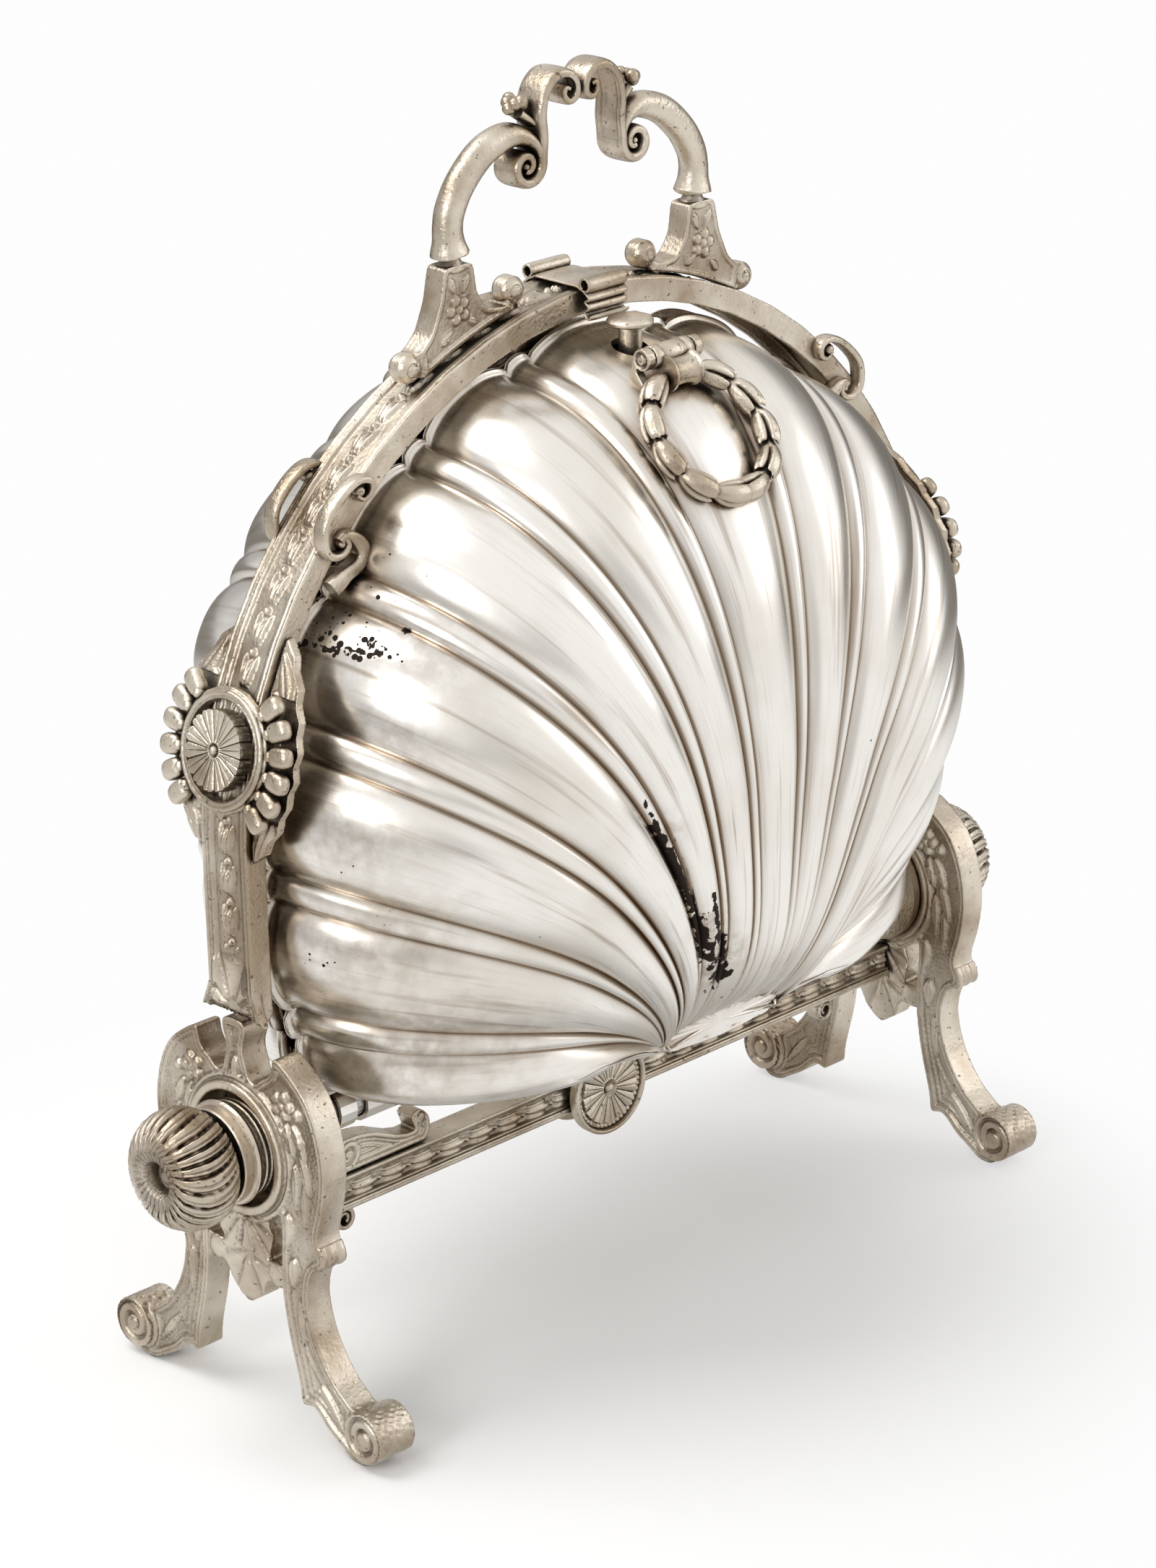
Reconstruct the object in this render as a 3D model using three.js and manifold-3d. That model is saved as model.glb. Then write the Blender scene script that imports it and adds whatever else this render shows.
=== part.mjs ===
// Folding biscuit box: two fluted scallop shells hinged on an axle inside an arched, footed stand.
// Millimetres, +Z up. X runs along the axle, -Y is the front, the origin is on the ground under the middle.
import * as THREE from 'three';
import { mergeVertices } from 'three/addons/utils/BufferGeometryUtils.js';
import Module from 'manifold-3d';

const wasm = await Module();
wasm.setup();

// Driving dimensions of the stand
const axleHeight = 62.4;
const axleRadius = 3.7;
const knuckleRadius = 4.9;
const archHalfSpan = 103;
const supportOuterX = archHalfSpan;
const supportThickness = 6.8;
const supportTopRise = 29.3;
const supportHeight = axleHeight + supportTopRise;
const supportReach = 47.5;
const archSpringRise = 69.9;
const archSpringHeight = axleHeight + archSpringRise;
const archRise = 97.1;
const archFullness = 1.9;
const archWidth = 14;
const archDepth = 5.4;
const archWeb = 2.2;
const archLip = 1.7;
const postFootWidth = 20;
const postFootHeight = 7;

// Clearances
const gap = 0.35;
const runningGap = 0.3;
const overrun = 2;

// Driving dimensions of the shells
const shellWall = 1.2;
const rimSideInset = 10.5;
const rimHalfWidth = archHalfSpan - rimSideInset;
const rimRise = 95.3;
const rimLegTaper = 9;
const rimCornerRise = 10.86;
const rimFootRise = 6.1;
const rimFootHeight = axleHeight + rimFootRise;
const rimPlaneY = 3.4;
const umboRise = 7.6;
const umboHeight = axleHeight + umboRise;
const umboHalfWidth = 18.5;
const umboHalfHeight = 3;
const umboDepth = 37.6;
const bellyDepthTop = 54.5;
const bellyDepthSide = 52.5;
const bellyDepthHip = 34;
const ribDrawIn = 1.5;
const ribLift = 1.45;
const heelDrop = 1.5;
const lobeHeight = 3.6;
const ribHeight = 1.7;
const lobesPerSide = 6;
const firstRibAngle = 12.25;
const ribPitch = 19.53;
const ribHalfAngle = 2.3;
const cornerAngle = 118.4;
const lastLobeAngle = 131;
const heelAngles = [115, 150];
const flangeWidth = 2.3;
const archClearance = 0.9;

const degree = Math.PI / 180;
const rightAngle = 90;
const rimCentreHeight = axleHeight + rimCornerRise + rimRise * (cornerAngle - rightAngle) * degree;

// Finishes
const castSilver = { color: 0xb5aa99, roughness: 0.38, metalness: 1 };
const shellSilver = { color: 0xd9d5cd, roughness: 0.22, metalness: 1 };
const steel = { color: 0x8f8b84, roughness: 0.35, metalness: 1 };

// Solids
function solid(geometry) {
  const bare = new THREE.BufferGeometry();
  const source = geometry.index ? geometry.toNonIndexed() : geometry;
  bare.setAttribute('position', source.getAttribute('position'));
  const merged = mergeVertices(bare, 1e-4);
  const vertices = merged.attributes.position.array;
  const faces = new Uint32Array(merged.index.array);
  const body = new wasm.Manifold(new wasm.Mesh({ numProp: 3, vertProperties: vertices, triVerts: faces }));
  if (body.volume() > 0) return body;
  for (let i = 0; i < faces.length; i += 3) [faces[i], faces[i + 1]] = [faces[i + 1], faces[i]];
  return new wasm.Manifold(new wasm.Mesh({ numProp: 3, vertProperties: vertices, triVerts: faces }));
}

function geometryOf(body) {
  const mesh = body.getMesh();
  const geometry = new THREE.BufferGeometry();
  geometry.setAttribute('position', new THREE.BufferAttribute(new Float32Array(mesh.vertProperties), 3));
  geometry.setIndex(new THREE.BufferAttribute(new Uint32Array(mesh.triVerts), 1));
  geometry.computeVertexNormals();
  return geometry;
}

const join = (...bodies) => bodies.reduce((sum, body) => sum.add(body));
const cut = (body, ...tools) => tools.reduce((rest, tool) => rest.subtract(tool), body);

// Extrusions lie in a plane and are as deep as depth, centred on the third axis
function extrude(points, depth, holes = []) {
  const shape = new THREE.Shape(points);
  holes.forEach((hole) => shape.holes.push(new THREE.Path(hole)));
  const geometry = new THREE.ExtrudeGeometry(shape, { depth, bevelEnabled: false });
  return geometry.translate(0, 0, -depth / 2);
}

const alongX = new THREE.Matrix4().makeBasis(
  new THREE.Vector3(0, 1, 0), new THREE.Vector3(0, 0, 1), new THREE.Vector3(1, 0, 0));
const alongY = new THREE.Matrix4().makeBasis(
  new THREE.Vector3(1, 0, 0), new THREE.Vector3(0, 0, 1), new THREE.Vector3(0, -1, 0));
const plateYZ = (points, depth, x, holes) =>
  solid(extrude(points, depth, holes).applyMatrix4(alongX).translate(x, 0, 0));
const plateXZ = (points, depth, y, holes) =>
  solid(extrude(points, depth, holes).applyMatrix4(alongY).translate(0, y, 0));

const p2 = (x, y) => new THREE.Vector2(x, y);

function box(x0, x1, y0, y1, z0, z1) {
  const geometry = new THREE.BoxGeometry(x1 - x0, y1 - y0, z1 - z0);
  return solid(geometry.translate((x0 + x1) / 2, (y0 + y1) / 2, (z0 + z1) / 2));
}

// A turned piece: profile is [radius, place along the axis], from the axis to the axis or closed
function turned(profile, sides, matrix) {
  const geometry = new THREE.LatheGeometry(profile.map(([r, h]) => p2(r, h)), sides);
  return solid(geometry.applyMatrix4(matrix));
}
const turnedX = (profile, sides, y, z) =>
  turned(profile, sides, new THREE.Matrix4().makeRotationZ(-Math.PI / 2).setPosition(0, y, z));
const turnedY = (profile, sides, x, z) =>
  turned(profile, sides, new THREE.Matrix4().setPosition(x, 0, z));
const turnedZ = (profile, sides, x, y) =>
  turned(profile, sides, new THREE.Matrix4().makeRotationX(Math.PI / 2).setPosition(x, y, 0));

const rodX = (radius, x0, x1, y, z, sides = 24) =>
  turnedX([[0, x0], [radius, x0], [radius, x1], [0, x1]], sides, y, z);
const rodY = (radius, y0, y1, x, z, sides = 20) =>
  turnedY([[0, y0], [radius, y0], [radius, y1], [0, y1]], sides, x, z);
const rodZ = (radius, z0, z1, x, y, sides = 20) =>
  turnedZ([[0, z0], [radius, z0], [radius, z1], [0, z1]], sides, x, y);

// A smooth closed outline through a few points
function smooth(points, steps = 3, closed = true) {
  const curve = new THREE.CatmullRomCurve3(
    points.map(([x, y]) => new THREE.Vector3(x, y, 0)), closed, 'centripetal');
  const count = points.length * steps;
  const dots = curve.getPoints(count).map((p) => p2(p.x, p.y));
  if (closed) dots.pop();
  return dots;
}

// A strip of varying width along a centre line: stations are [x, y, half width]
function ribbon(stations, steps = 3) {
  const curve = new THREE.CatmullRomCurve3(
    stations.map(([x, y, w]) => new THREE.Vector3(x, y, w)), false, 'centripetal');
  const count = (stations.length - 1) * steps;
  const left = [];
  const right = [];
  for (let i = 0; i <= count; i++) {
    const p = curve.getPoint(i / count);
    const t = curve.getTangent(i / count);
    const length = Math.hypot(t.x, t.y);
    left.push(p2(p.x - t.y / length * p.z, p.y + t.x / length * p.z));
    right.push(p2(p.x + t.y / length * p.z, p.y - t.x / length * p.z));
  }
  return left.concat(right.reverse());
}

// Rings of points joined one after another, with a fan over the first and the last
function loft(rings, closedLoop = false) {
  const columns = rings[0].length;
  const positions = [];
  const put = (...points) => points.forEach((p) => positions.push(p.x, p.y, p.z));
  const last = closedLoop ? rings.length : rings.length - 1;
  for (let j = 0; j < last; j++) {
    const a = rings[j];
    const b = rings[(j + 1) % rings.length];
    for (let i = 0; i < columns; i++) {
      const k = (i + 1) % columns;
      put(a[i], a[k], b[k]);
      put(a[i], b[k], b[i]);
    }
  }
  const fan = (ring, flip) => {
    const middle = ring.reduce((sum, p) => sum.add(p), new THREE.Vector3()).divideScalar(columns);
    for (let i = 0; i < columns; i++) {
      const k = (i + 1) % columns;
      if (flip) put(middle, ring[k], ring[i]);
      else put(middle, ring[i], ring[k]);
    }
  };
  if (!closedLoop) {
    fan(rings[0], true);
    fan(rings[rings.length - 1], false);
  }
  const geometry = new THREE.BufferGeometry();
  geometry.setAttribute('position', new THREE.Float32BufferAttribute(positions, 3));
  return solid(geometry);
}

// The arch outline: a full oval above the spring line, straight posts below it
const archBase = supportHeight + gap;

function archOutline(inset, steps = 28) {
  const span = archHalfSpan - inset;
  const rise = archRise - inset;
  const dots = [p2(span, archBase)];
  for (let i = 0; i <= steps; i++) {
    const a = Math.PI * i / steps;
    const power = 2 / archFullness;
    const x = Math.sign(Math.cos(a)) * span * Math.abs(Math.cos(a)) ** power;
    dots.push(p2(x, archSpringHeight + rise * Math.sin(a) ** power));
  }
  dots.push(p2(-span, archBase));
  return dots;
}

// How far out the arch reaches at a height
function archOuterAt(z, inset) {
  const above = Math.max(0, z - archSpringHeight) / (archRise - inset);
  return (archHalfSpan - inset) * (1 - above ** archFullness) ** (1 / archFullness);
}

function archBand(outerInset, innerInset, width) {
  const inner = archOutline(innerInset).reverse();
  return plateXZ(archOutline(outerInset).concat(inner), width, 0);
}

function archFrame() {
  const channel = archBand(archWeb, archDepth + overrun, archWidth - 2 * archLip);
  const band = cut(archBand(0, archDepth, archWidth), channel);
  const shoulder = [
    p2(-archWidth / 2 + archLip, archBase + postFootHeight), p2(-archWidth / 2, archBase + postFootHeight),
    p2(-postFootWidth / 2, archBase), p2(postFootWidth / 2, archBase),
    p2(archWidth / 2, archBase + postFootHeight), p2(archWidth / 2 - archLip, archBase + postFootHeight),
  ];
  const foot = (side) => plateYZ(shoulder, archWeb, side * (archHalfSpan - archWeb / 2));
  return join(band, foot(1), foot(-1));
}

// End supports
const eyeRadius = 13.1;
const eyeRingRadius = 17;
const eyeRimWidth = 2;
const eyeRingStand = 1.2;
const notchRadius = 4.9;
const notchShares = [0.151, 0.927];
const neckHalfWidth = 3.6;
const footRollRadius = 5.9;
const footRollWidth = 10;
const footRollShares = [0.794, 0.083];
const linkScrollRadius = 3.1;
const linkScrollShares = [0.205, 0.385];
const pendantThickness = 5;

const legOutlineShares = [
  [0.212, 0.940], [0.262, 0.945], [0.345, 0.922], [0.462, 0.872], [0.538, 0.792], [0.566, 0.687],
  [0.531, 0.584], [0.494, 0.520], [0.532, 0.492], [0.535, 0.462], [0.466, 0.446], [0.425, 0.400],
  [0.418, 0.345], [0.470, 0.255], [0.590, 0.170], [0.700, 0.128], [0.800, 0.020], [0.770, 0],
  [0.690, 0], [0.620, 0.022], [0.520, 0.052], [0.430, 0.095], [0.360, 0.078], [0.350, 0.130], [0.301, 0.223],
  [0.262, 0.336], [0.262, 0.458], [0.270, 0.560], [0.120, 0.700], [0.080, 0.830], [0.151, 0.860],
];
const pendantOutlineShares = [
  [0, 0.530], [0.150, 0.520], [0.185, 0.460], [0.150, 0.420], [0.165, 0.370], [0.120, 0.350],
  [0.105, 0.312], [0.055, 0.298], [0, 0.276],
];

function endSupport(side) {
  const sized = (shares, turn = 1) => shares.map(([y, z]) => [turn * y * supportReach, z * supportHeight]);
  const middleX = side * (supportOuterX - supportThickness / 2);
  const grounded = (dots) => dots.map((p) => p2(p.x, Math.max(0, p.y)));
  const legs = [1, -1].map((turn) =>
    plateYZ(grounded(smooth(sized(legOutlineShares, turn), 2)), supportThickness, middleX));
  const half = sized(pendantOutlineShares);
  const pendantOutline = half.concat(half.slice(1, -1).reverse().map(([y, z]) => [-y, z]));
  const pendant = plateYZ(smooth(pendantOutline, 2), pendantThickness, middleX);
  const eyeRing = rodX(eyeRingRadius, middleX - supportThickness / 2, middleX + supportThickness / 2,
    0, axleHeight, 20);
  const rimFace = side * (supportOuterX + eyeRingStand);
  const rim = rodX(eyeRadius + eyeRimWidth, Math.min(middleX, rimFace), Math.max(middleX, rimFace),
    0, axleHeight, 20);
  const neck = plateYZ([
    p2(-neckHalfWidth, axleHeight + eyeRadius), p2(neckHalfWidth, axleHeight + eyeRadius),
    p2(neckHalfWidth, supportHeight), p2(-neckHalfWidth, supportHeight),
  ], supportThickness, middleX);
  const feet = [1, -1].map((turn) => rodX(footRollRadius, middleX - footRollWidth / 2,
    middleX + footRollWidth / 2, turn * footRollShares[0] * supportReach,
    footRollShares[1] * supportHeight, 12));
  const links = [1, -1].map((turn) => rodX(linkScrollRadius, middleX - pendantThickness / 2,
    middleX + pendantThickness / 2, turn * linkScrollShares[0] * supportReach,
    linkScrollShares[1] * supportHeight, 10));
  const notches = [1, -1].map((turn) => rodX(notchRadius, middleX - supportThickness,
    middleX + supportThickness, turn * notchShares[0] * supportReach, notchShares[1] * supportHeight, 14));
  const eye = rodX(eyeRadius, middleX - supportThickness - overrun, middleX + supportThickness + overrun,
    0, axleHeight, 20);
  return cut(join(...legs, pendant, eyeRing, rim, neck, ...feet, ...links), eye, ...notches);
}

// Stretcher between the supports
const stretcherDrop = 15.5;
const stretcherDepth = 7.9;
const stretcherHigh = axleHeight - stretcherDrop;
const stretcherLow = stretcherHigh - stretcherDepth;
const stretcherHalfWidth = 3.5;
const stretcherPanelDepth = 0.9;
const stretcherBead = 1.1;
const rosetteRadius = 10.9;
const rosetteThickness = 1;
const rosetteDomeRadius = 3.6;
const rosetteDomeHeight = 1.6;
const supportInnerX = supportOuterX - supportThickness;
const stretcherEndX = supportInnerX - gap;
const stretcherMiddle = (stretcherLow + stretcherHigh) / 2;

function stretcherBar() {
  const low = stretcherLow + 2 * stretcherBead;
  const high = stretcherHigh - stretcherBead;
  const face = stretcherHalfWidth;
  const panel = stretcherHalfWidth - stretcherPanelDepth;
  const right = [
    [face, stretcherHigh], [face, high], [panel, high], [panel, low], [face, low],
    [face + stretcherBead / 2, stretcherLow + stretcherBead], [face, stretcherLow],
  ];
  const left = right.map(([y, z]) => [-y, z]).reverse();
  return plateYZ(right.concat(left).map(([y, z]) => p2(y, z)), 2 * stretcherEndX, 0);
}

function stretcherRosette(side) {
  const inner = stretcherHalfWidth + stretcherBead / 2 + gap;
  const outer = inner + rosetteThickness;
  return turnedY([
    [0, side * inner], [rosetteRadius, side * inner], [rosetteRadius, side * outer],
    [rosetteRadius * 0.86, side * outer], [rosetteRadius * 0.8, side * (outer - rosetteThickness / 2)],
    [rosetteDomeRadius, side * (outer - rosetteThickness / 3)],
    [rosetteDomeRadius * 0.8, side * (outer + rosetteDomeHeight * 0.7)], [0, side * (outer + rosetteDomeHeight)],
  ], 20, 0, stretcherMiddle);
}

// Scroll bracket on each end of the stretcher: a fan, a wave and an upturned curl
const bracketThickness = 5;
const bracketLength = 32;
const bracketHeight = 7.6;
const bracketInset = 12.8;
const bracketStartX = stretcherEndX - bracketInset - bracketLength;
const bracketShares = [
  [0.02, 0.78], [0.10, 1.02], [0.17, 0.86], [0.13, 0.42], [0.30, 0.52], [0.48, 0.86], [0.66, 1.02],
  [0.84, 0.98], [0.97, 0.66], [1.0, 0.30], [0.96, 0.0], [0.60, 0.0], [0.30, 0.0], [0.05, 0.0], [0.0, 0.35],
];

function stretcherBracket(side) {
  const base = stretcherHigh + gap;
  const points = bracketShares.map(([x, z]) => [side * (bracketStartX + x * bracketLength),
    base + z * bracketHeight]);
  const dots = smooth(points, 2).map((p) => p2(p.x, Math.max(base, p.y)));
  return plateXZ(dots, bracketThickness, 0);
}

// Axle, drums and knobs
const drumRadius = 11.8;
const drumStand = 7;
const drumSeat = 2.6;
const drumOuterX = supportOuterX + drumStand;
const drumInnerX = supportInnerX - drumSeat;
const drumFlangeRadius = 13.7;
const drumFlangeThickness = 2;
const drumMoulding = 0.8;
const drumMouldingWidth = 3.2;
const drumMouldingInset = 4;
const drumMouldingX = drumOuterX - drumMouldingInset;
const knobRadius = 13.6;
const knobLength = 16.5;
const knobPetals = 12;
const knobPetalDepth = 0.9;
const knobTwist = 0.5;
const axleEndX = drumOuterX - gap;

function pivotDrum(side) {
  const bore = axleRadius + runningGap;
  const half = drumMouldingWidth / 2;
  const ring = (x) => [
    [drumRadius, x - half], [drumRadius + drumMoulding, x - half / 2],
    [drumRadius + drumMoulding, x + half / 2], [drumRadius, x + half],
  ];
  const profile = [
    [bore, drumInnerX], [drumFlangeRadius, drumInnerX], [drumFlangeRadius, drumInnerX + drumFlangeThickness],
    [drumRadius, drumInnerX + drumFlangeThickness], ...ring(drumMouldingX), [drumRadius, drumOuterX],
    [bore, drumOuterX], [bore, drumInnerX],
  ];
  return turnedX(profile.map(([r, x]) => [r, side * x]), 18, 0, axleHeight);
}

const knobProfileShares = [
  [0.62, 0], [0.88, 0.12], [1.0, 0.42], [0.92, 0.72], [0.72, 0.9], [0.52, 0.95],
  [0.44, 0.86], [0.2, 0.84], [0.14, 0.93],
];

function gadroonedKnob(side) {
  const columns = knobPetals * 2;
  const startX = drumOuterX + gap;
  const rings = knobProfileShares.map(([r, x], j) => {
    const ripple = r > 0.5 && j > 0 ? knobPetalDepth : 0;
    return Array.from({ length: columns }, (_, i) => {
      const a = 2 * Math.PI * (i + knobTwist * j) / columns;
      const radius = r * knobRadius - (i % 2 ? ripple : 0);
      return new THREE.Vector3(side * (startX + x * knobLength), radius * Math.cos(a),
        axleHeight + radius * Math.sin(a));
    });
  });
  return loft(rings);
}

// Shell form: a point of the smooth bowl at an angle round the rim and a share from umbo to rim
function eased(a, stops, values) {
  for (let i = 1; i < stops.length; i++) {
    if (a <= stops[i]) {
      const t = Math.max(0, (a - stops[i - 1]) / (stops[i] - stops[i - 1]));
      return values[i - 1] + (values[i] - values[i - 1]) * t * t * (3 - 2 * t);
    }
  }
  return values[values.length - 1];
}

const beltAngles = [0, 60, 120, 180];
const reliefGrowthShares = [0.05, 0.42];
const crestShares = [0.31, 0.55, 0.48, 0.06];
const crestPower = 4;
const curlPower = 2.35;
const curlRoot = 2.3;
const taperAngle = 25.8;
const umboTurnAngle = 75;

function rimPoint(angle) {
  const a = Math.abs(angle);
  const side = Math.sign(angle) || 1;
  if (a <= rightAngle) {
    return [side * rimHalfWidth * Math.sin(a * degree), rimCentreHeight + rimRise * Math.cos(a * degree)];
  }
  const legX = (low) => rimHalfWidth - rimLegTaper * (low / taperAngle) ** 2;
  const legZ = (low) => rimCentreHeight - rimRise * low * degree;
  if (a <= cornerAngle) return [side * legX(a - rightAngle), legZ(a - rightAngle)];
  const u = (a - cornerAngle) / (2 * rightAngle - cornerAngle);
  const corner = [legX(cornerAngle - rightAngle), legZ(cornerAngle - rightAngle)];
  return [side * corner[0] * (1 - u), rimFootHeight + (corner[1] - rimFootHeight) * (1 - u) ** 4];
}

function bowlPoint(angle, s) {
  const a = Math.abs(angle);
  const side = Math.sign(angle) || 1;
  const [endX, endZ] = rimPoint(angle);
  const turn = a < umboTurnAngle
    ? rightAngle * a / umboTurnAngle
    : rightAngle * (1 + (a - umboTurnAngle) / (2 * rightAngle - umboTurnAngle));
  const startX = side * umboHalfWidth * Math.sin(turn * degree);
  const startZ = umboHeight + umboHalfHeight * Math.cos(turn * degree);
  const bendX = (startX + endX) / 2 - ribDrawIn * startX;
  const bendZ = (startZ + endZ) / 2 + ribLift;
  const x = (1 - s) ** 2 * startX + 2 * s * (1 - s) * bendX + s * s * endX;
  const z = (1 - s) ** 2 * startZ + 2 * s * (1 - s) * bendZ + s * s * endZ;
  const belly = eased(a, beltAngles, [bellyDepthTop, bellyDepthSide, bellyDepthHip, umboDepth]);
  const crest = eased(a, beltAngles, crestShares);
  const depth = s < crest
    ? umboDepth + (belly - umboDepth) * (1 - ((crest - s) / crest) ** crestPower)
    : belly * Math.max(0, 1 - ((s - crest) / (1 - crest)) ** curlPower) ** (1 / curlRoot);
  const sink = heelDrop * Math.sin(Math.PI * s) * eased(a, heelAngles, [0, 1]);
  return new THREE.Vector3(x, -(rimPlaneY + depth), z - sink);
}

const bowlMiddle = new THREE.Vector3(0, -rimPlaneY - bellyDepthTop / 4, rimCentreHeight);

function bowlNormal(angle, s) {
  const ds = 0.004;
  const da = 0.4;
  const s0 = Math.max(0, s - ds);
  const s1 = Math.min(1, s + ds);
  const along = bowlPoint(angle, s1).sub(bowlPoint(angle, s0));
  const wrap = (a) => (a > 180 ? a - 360 : a < -180 ? a + 360 : a);
  const across = bowlPoint(wrap(angle + da), s).sub(bowlPoint(wrap(angle - da), s));
  const normal = along.cross(across).normalize();
  const outwards = bowlPoint(angle, s).sub(bowlMiddle);
  return normal.dot(outwards) < 0 ? normal.negate() : normal;
}

// Wide lobes with narrow ribs between them; each column is an angle with its share of relief
function fluteColumns() {
  const lobeBounds = (k) => {
    if (k === 0) return [-(firstRibAngle - ribHalfAngle), firstRibAngle - ribHalfAngle];
    const start = firstRibAngle + (Math.abs(k) - 1) * ribPitch + ribHalfAngle;
    const end = Math.abs(k) === lobesPerSide ? lastLobeAngle : start + ribPitch - 2 * ribHalfAngle;
    return k > 0 ? [start, end] : [-end, -start];
  };
  const columns = [];
  for (let k = -lobesPerSide; k <= lobesPerSide; k++) {
    const [from, to] = lobeBounds(k);
    const width = to - from;
    [[0, 0], [0.2, 0.74], [0.5, 1], [0.8, 0.74], [1, 0]].forEach(([share, height]) =>
      columns.push({ angle: from + share * width, relief: height * lobeHeight }));
    if (k < lobesPerSide) columns.push({ angle: to + ribHalfAngle, relief: ribHeight });
  }
  const heelSteps = 6;
  const heel = 360 - 2 * lastLobeAngle;
  for (let i = 1; i < heelSteps; i++) {
    const angle = lastLobeAngle + heel * i / heelSteps;
    columns.push({ angle: angle > 180 ? angle - 360 : angle, relief: 0 });
  }
  return columns;
}
const columns = fluteColumns();
const reliefGrowth = (s) => eased(s, reliefGrowthShares, [0, 1]);

function bowlRing(s, offset) {
  return columns.map(({ angle, relief }) => {
    const lift = relief * reliefGrowth(s) + offset;
    return bowlPoint(angle, s).addScaledVector(bowlNormal(angle, s), lift);
  });
}

// Height of the middle lobe's crest at a depth, found by halving between its belly and the rim
function crestHeightAt(y) {
  const crestPoint = (s) => bowlPoint(0, s).addScaledVector(bowlNormal(0, s), lobeHeight * reliefGrowth(s));
  let inner = crestShares[0];
  let outer = 1;
  for (let i = 0; i < 30; i++) {
    const s = (inner + outer) / 2;
    if (crestPoint(s).y < y) inner = s;
    else outer = s;
  }
  return crestPoint(outer).z;
}

// The rim stays inside the arch and above the axle
function insideArch(x, z) {
  const span = archHalfSpan - archDepth - archClearance;
  const rise = archRise - archDepth - archClearance;
  const above = Math.max(0, z - archSpringHeight);
  const fullness = ((Math.abs(x) / span) ** archFullness + (above / rise) ** archFullness) ** (1 / archFullness);
  const k = Math.max(1, fullness);
  return [x / k, above > 0 ? archSpringHeight + above / k : z];
}

function rimRing(y, offset) {
  return columns.map(({ angle, relief }) => {
    const normal = bowlNormal(angle, 1).setY(0).normalize();
    const p = bowlPoint(angle, 1).addScaledVector(normal, relief + offset);
    const [x, z] = insideArch(p.x, p.z);
    return new THREE.Vector3(x, y, Math.max(z, axleHeight + knuckleRadius + gap));
  });
}

const outerShares = [0, 0.1, 0.24, 0.42, 0.62, 0.8, 0.94];
const innerShares = [0.94, 0.72, 0.36, 0];
const flangeBackY = rimPlaneY - shellWall;

function bowlFilled(offset) {
  const rings = outerShares.map((s) => bowlRing(s, offset));
  return loft([...rings, rimRing(-rimPlaneY, offset)]);
}

function bowlCavity(offset) {
  const rings = innerShares.slice().reverse().map((s) => bowlRing(s, -offset));
  return loft([...rings, rimRing(-rimPlaneY, -offset)]);
}

// Button, its hole, bridge and spring
const buttonY = -16.4;
const buttonCrestHeight = crestHeightAt(buttonY);
const buttonStand = 6.6;
const buttonHeadHeight = buttonCrestHeight + buttonStand;
const buttonHeadRadius = 5;
const buttonHeadThickness = 2;
const buttonStemRadius = 2.5;
const buttonFootDrop = 19;
const buttonFootHeight = buttonCrestHeight - buttonFootDrop;
const buttonHoleRadius = 4.1;
const collarRadius = 4.8;
const collarDrop = 7.4;
const collarHeight = buttonCrestHeight - collarDrop;
const collarThickness = 1;
const bridgeDrop = 16;
const bridgeHeight = buttonCrestHeight - bridgeDrop;
const bridgeThickness = 1.3;
const bridgeHalfLength = 9.5;
const bridgeHalfWidth = 5;
const springRadius = 3.6;
const springWire = 0.45;
const springTurns = 3;

function pushButton() {
  const head = buttonHeadHeight;
  return turnedZ([
    [0, buttonFootHeight], [buttonStemRadius, buttonFootHeight], [buttonStemRadius, collarHeight],
    [collarRadius, collarHeight], [collarRadius, collarHeight + collarThickness],
    [buttonStemRadius, collarHeight + collarThickness], [buttonStemRadius, head - buttonHeadThickness],
    [buttonHeadRadius * 0.9, head - buttonHeadThickness], [buttonHeadRadius, head - buttonHeadThickness * 0.7],
    [buttonHeadRadius * 0.9, head - buttonHeadThickness * 0.35], [buttonHeadRadius * 0.5, head],
    [0, head],
  ], 13, 0, buttonY);
}

function buttonBridge() {
  const low = buttonY - bridgeHalfWidth;
  const high = buttonY + bridgeHalfWidth;
  const floor = box(-bridgeHalfLength, bridgeHalfLength, low, high, bridgeHeight, bridgeHeight + bridgeThickness);
  const leg = (side) => {
    const edges = [side * bridgeHalfLength, side * (bridgeHalfLength - bridgeThickness)];
    return box(Math.min(...edges), Math.max(...edges), low, high, bridgeHeight, buttonHeadHeight);
  };
  const hole = rodZ(buttonStemRadius + gap, bridgeHeight - overrun, bridgeHeight + bridgeThickness + overrun,
    0, buttonY, 14);
  return cut(join(floor, leg(1), leg(-1)), hole).intersect(bowlCavity(shellWall + gap));
}

function returnSpring() {
  const start = bridgeHeight + bridgeThickness + gap + springWire;
  const rise = collarHeight - gap - springWire - start;
  const steps = springTurns * 7;
  const rings = [];
  for (let i = 0; i <= steps; i++) {
    const a = 2 * Math.PI * springTurns * i / steps;
    const out = new THREE.Vector3(Math.cos(a), Math.sin(a), 0);
    const middle = out.clone().multiplyScalar(springRadius).add(
      new THREE.Vector3(0, buttonY, start + rise * i / steps));
    rings.push(Array.from({ length: 5 }, (_, k) => {
      const b = 2 * Math.PI * k / 5;
      return middle.clone().addScaledVector(out, springWire * Math.cos(b)).add(
        new THREE.Vector3(0, 0, springWire * Math.sin(b)));
    }));
  }
  return loft(rings);
}

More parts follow.
